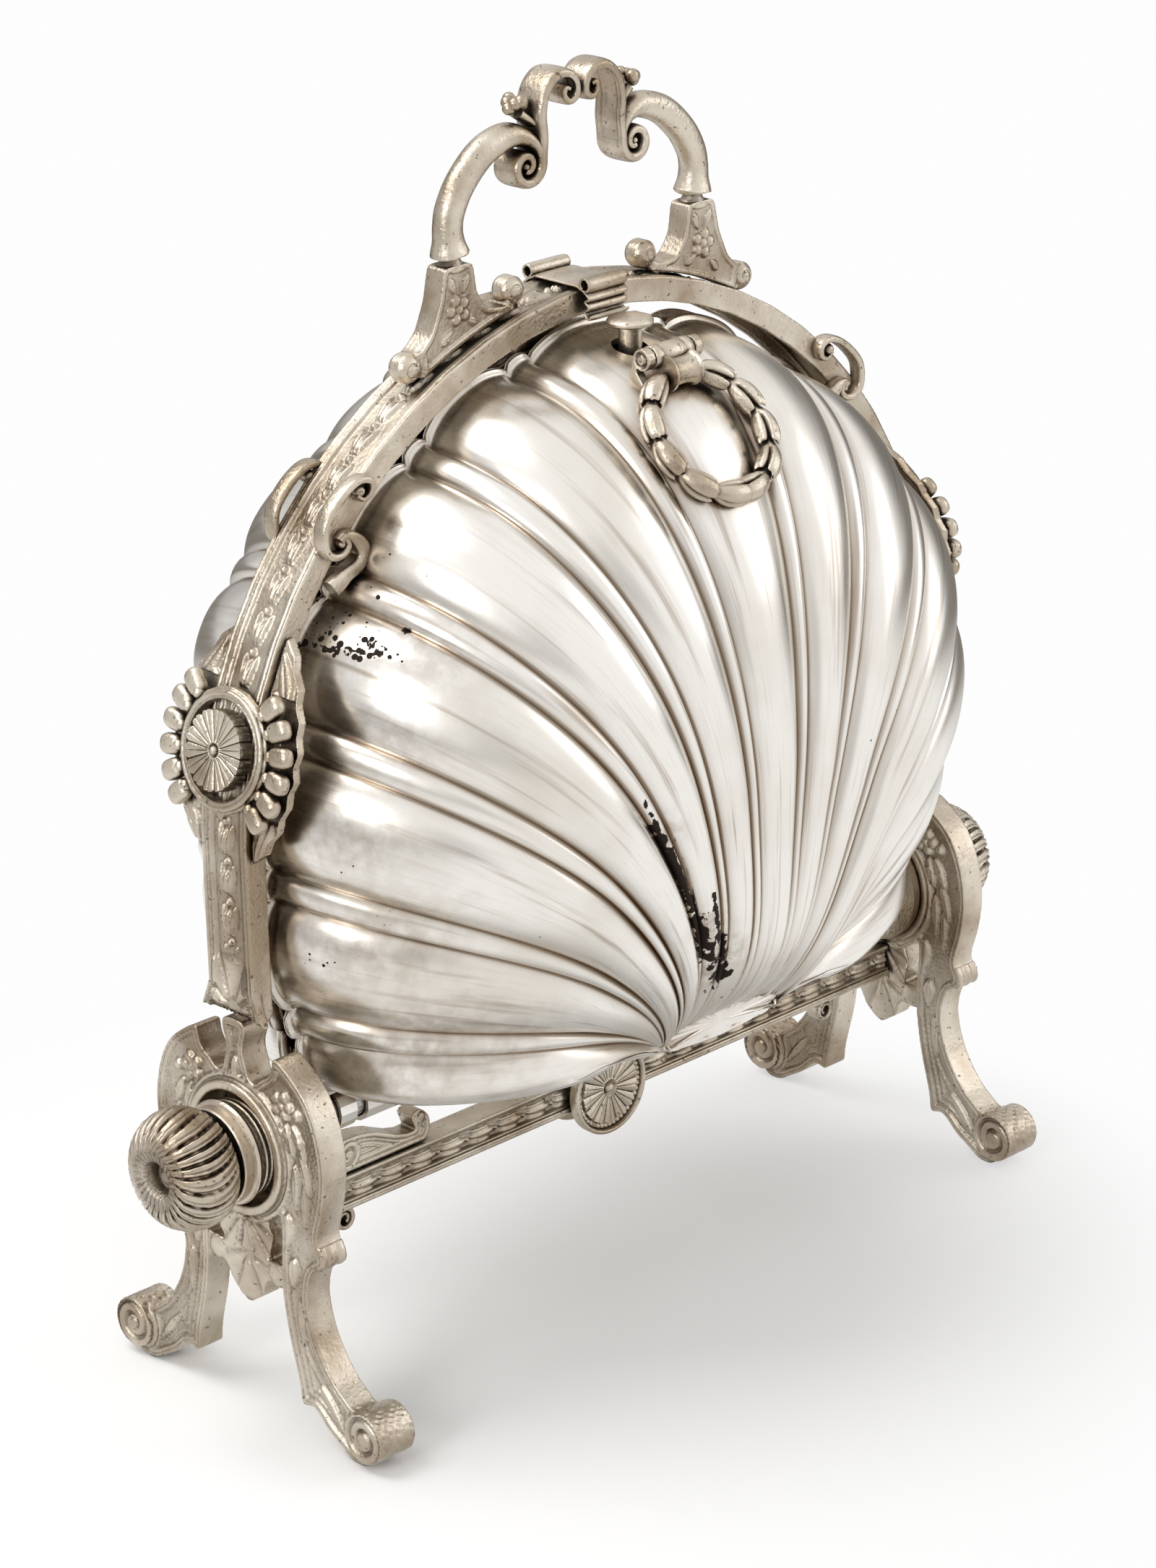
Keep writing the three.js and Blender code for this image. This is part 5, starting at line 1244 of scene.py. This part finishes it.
x, z, outer, inner = latch["roll"]
half = latch["halfLength"]
sheet, clip = ([[*row, half] for row in latch[key]] for key in ("sheet", "clip"))
roll = curlStations((x, z), (outer, inner), -90, 0.92, (0.4, 0.4), (half, half))
line = np.vstack([smoothLine(sheet + [list(roll[0])]), roll[1:]])
latchPiece("rolledSaddle", "latch_saddle", sweptBand(np.vstack([line[:0:-1] * (-1, 1, 1, 1), line]), 0.5))
points, faces = sweptBand(smoothLine(clip), 0.5)
for name, side in ends:
    latchPiece(f"{name}RibbedClip", f"{name}_rim_clip", (points * (side, 1, 1), faces))
print("latch")


# push buttons: a domed head on a stem
button = {
    "place": 16.4,
    "profile": [[0.05, 199.1], [2.5, 199.1], [2.5, 221.3], [2.8, 222.0], [4.5, 222.5], [5.0, 222.9],
                [5.05, 223.4], [4.7, 223.9], [3.6, 224.3], [2.0, 224.52], [0.05, 224.58]],
}
for name, side in ends:
    points, faces = lathe(button["profile"], 2, (0, side * button["place"], 0), 72)
    made(f"{name}DomedButton", points, faces, 40, f"{name}_button", body=f"{name}_push_button")


# ring mounts with bored ends
def mountRelief(side):
    def relief(points, normals):
        rho = np.hypot(points[:, 1] - side * wreath["pinY"], points[:, 2] - wreath["pinZ"])
        bore = -0.9 * step(1.0, 1.15, rho) * step(1.85, 1.7, rho)
        return bore * (np.abs(normals[:, 0]) > 0.8) * (np.abs(points[:, 0]) > 7.5)
    return relief


for name, side in ends:
    carved(f"{name}RingLugs", f"{name}_ring_mount", 0.2, 2, mountRelief(side), carvedSilver, f"{name}_leaf")


# nodes that stay take their metal
for name, thing in nodes.items():
    look = castSilver
    if name.endswith(("shell", "grille", "hinge_leaf")):
        look = shellSilver
    if name.endswith(("spring", "bridge")) or name == "axle_rod":
        look = steelFitting
    thing.data.materials.clear()
    thing.data.materials.append(look)


# floor, world and lamps, in metres; clear and mirrored are [from, to, share at from, share at to]
studio = {
    "floor": (0.62, 0.615, 0.60, 1), "floorSeen": (1.0, 0.995, 0.985, 1), "floorSize": 9,
    "worldLight": 0.62, "clear": (0.07, 0.19, 0.05, 1.0), "clearShift": (0.03, 0, 0),
    "mirrored": (0.04, 0.17, 0.2, 0.97), "darkFrom": 0.28, "darkTo": 1.0,
    "darkFloor": (0.16, 0.14, 0.115, 1), "darkRoom": (0.1, 0.09, 0.075, 1),
    "white": (0.985, 0.985, 0.985, 1), "mirroredWhite": (1, 1, 1, 1),
}
# darker parts of the room that the metal reflects: [direction, inner cosine, outer cosine, share of darkness]
darkParts = [
    [(-0.97, 0.1, 0.0), 0.98, 0.84, 0.45], [(-0.5, -0.85, 0.08), 0.99, 0.93, 0.35],
    [(0.93, 0.25, 0.0), 0.97, 0.78, 0.92], [(0.35, 0.93, 0.05), 0.98, 0.85, 0.6],
    [(-0.35, 0.67, 0.63), 0.98, 0.72, 0.75],
]
# [place, height of the aim, size, power]
lamps = {
    "keyPanel": [(-0.5, 0.5, 1.3), 0.1, (0.9, 0.9), 9.0],
    "leftPanel": [(-1.4, -0.25, 0.75), 0.1, (0.5, 0.5), 5.5],
    "sidePanel": [(1.1, -0.9, 0.7), 0.12, (0.7, 0.9), 2.2],
}


def distance(place):
    return maths("LENGTH", place, kind="VectorMath", output="Value")


# pale paper that takes a soft shadow near the object and is plain white further out
def addFloor():
    size = studio["floorSize"] / mm / 2
    corners = [[-size, -size, 0], [size, -size, 0], [size, size, 0], [-size, size, 0]]
    floor = newObject("floor", corners, [[0, 1, 2, 3]])
    material, tree, shader, place = newMaterial("floorPaper")
    path = add(tree, "LightPath").outputs
    parts = add(tree, "SeparateXYZ")
    feed(parts, [0], [place])
    x, y = parts.outputs["X"], parts.outputs["Y"]
    low, high = studio["darkFrom"], studio["darkTo"]
    leftward = ranged(maths("MULTIPLY", x, -1.0), low, high, 0, 0.5)
    behind = ranged(maths("ADD", x, y), low, high * 0.7, 0.0, 0.95)
    away = maths("MULTIPLY", maths("MAXIMUM", leftward, behind), path["Is Glossy Ray"])
    colour = mixColour(path["Is Camera Ray"], studio["floor"], studio["floorSeen"])
    feed(shader, ("Base Color", "Roughness", "Specular IOR Level"), (colour, 0.95, 0.0))
    white = add(tree, "Emission", Strength=1.0)
    feed(white, ["Color"], [mixColour(away, studio["white"], studio["darkFloor"])])
    shifted = maths("ADD", place, studio["clearShift"], kind="VectorMath")
    clear = ranged(distance(shifted), *studio["clear"], "SMOOTHSTEP")
    mirrored = ranged(distance(place), *studio["mirrored"], "SMOOTHSTEP")
    share = maths("MAXIMUM", maths("MULTIPLY", clear, path["Is Camera Ray"]),
                  maths("MULTIPLY", mirrored, path["Is Glossy Ray"]))
    mixed = add(tree, "MixShader")
    feed(mixed, (0, 1, 2), (share, shader.outputs[0], white.outputs[0]))
    feed(tree.nodes["Material Output"], ["Surface"], [mixed.outputs[0]])
    floor.data.materials.append(material)


def addWorld():
    world = bpy.data.worlds.new("studio")
    bpy.context.scene.world = world
    world.use_nodes = True
    tree = world.node_tree
    path = add(tree, "LightPath").outputs
    direction = add(tree, "TexCoord").outputs["Generated"]
    tone = None
    for toward, inner, outer, share in darkParts:
        toward = Vector(toward).normalized()
        dot = maths("DOT_PRODUCT", direction, toward, kind="VectorMath", output="Value")
        dark = ranged(dot, outer, inner, 0.0, share)
        tone = dark if tone is None else maths("MAXIMUM", tone, dark)
    room = mixColour(tone, studio["mirroredWhite"], studio["darkRoom"])
    seen = maths("MAXIMUM", path["Is Camera Ray"], path["Is Transmission Ray"])
    lit = maths("MAXIMUM", seen, path["Is Glossy Ray"])
    colour = mixColour(path["Is Glossy Ray"], studio["white"], room)
    strength = ranged(lit, 0, 1, studio["worldLight"], 1.0)
    feed(tree.nodes["Background"], ("Color", "Strength"), (colour, strength))


def addLamp(name, place, aimHeight, size, power):
    data = bpy.data.lights.new(name, "AREA")
    data.shape = "RECTANGLE"
    data.size, data.size_y = size
    data.energy = power
    lamp = placed(name, data)
    lamp.location = place
    lamp.rotation_euler = (Vector((0, 0, aimHeight)) - Vector(place)).to_track_quat("-Z", "Y").to_euler()


addFloor()
addWorld()
for name, values in lamps.items():
    addLamp(name, *values)


# camera: seen from the left front, a little above; angles in degrees, lengths and the lens in millimetres
view = {
    "azimuth": -43.79, "elevation": 21.37, "roll": -1.16, "distance": 1020.8, "aimHeight": 114.7,
    "slideX": -1.51, "lens": 106.43,
}


def makeCamera():
    a, e, r = (view[key] * degree for key in ("azimuth", "elevation", "roll"))
    back = Vector((math.sin(a) * math.cos(e), -math.cos(a) * math.cos(e), math.sin(e)))
    right = Vector((0, 0, 1)).cross(back).normalized()
    up = back.cross(right)
    turnedRight = right * math.cos(r) + up * math.sin(r)
    turnedUp = up * math.cos(r) - right * math.sin(r)
    aim = Vector((turnedRight.x * view["slideX"], turnedRight.y * view["slideX"], view["aimHeight"])) * mm
    data = bpy.data.cameras.new("camera")
    data.sensor_width = 36
    data.lens = view["lens"]
    data.clip_start = 0.05
    data.clip_end = 20
    thing = placed("camera", data)
    rows = Matrix((turnedRight, turnedUp, back)).transposed().to_4x4()
    thing.matrix_world = Matrix.Translation(aim + back * view["distance"] * mm) @ rows
    bpy.context.scene.camera = thing


makeCamera()
bpy.context.scene.view_settings.view_transform = "Standard"
print("stage")
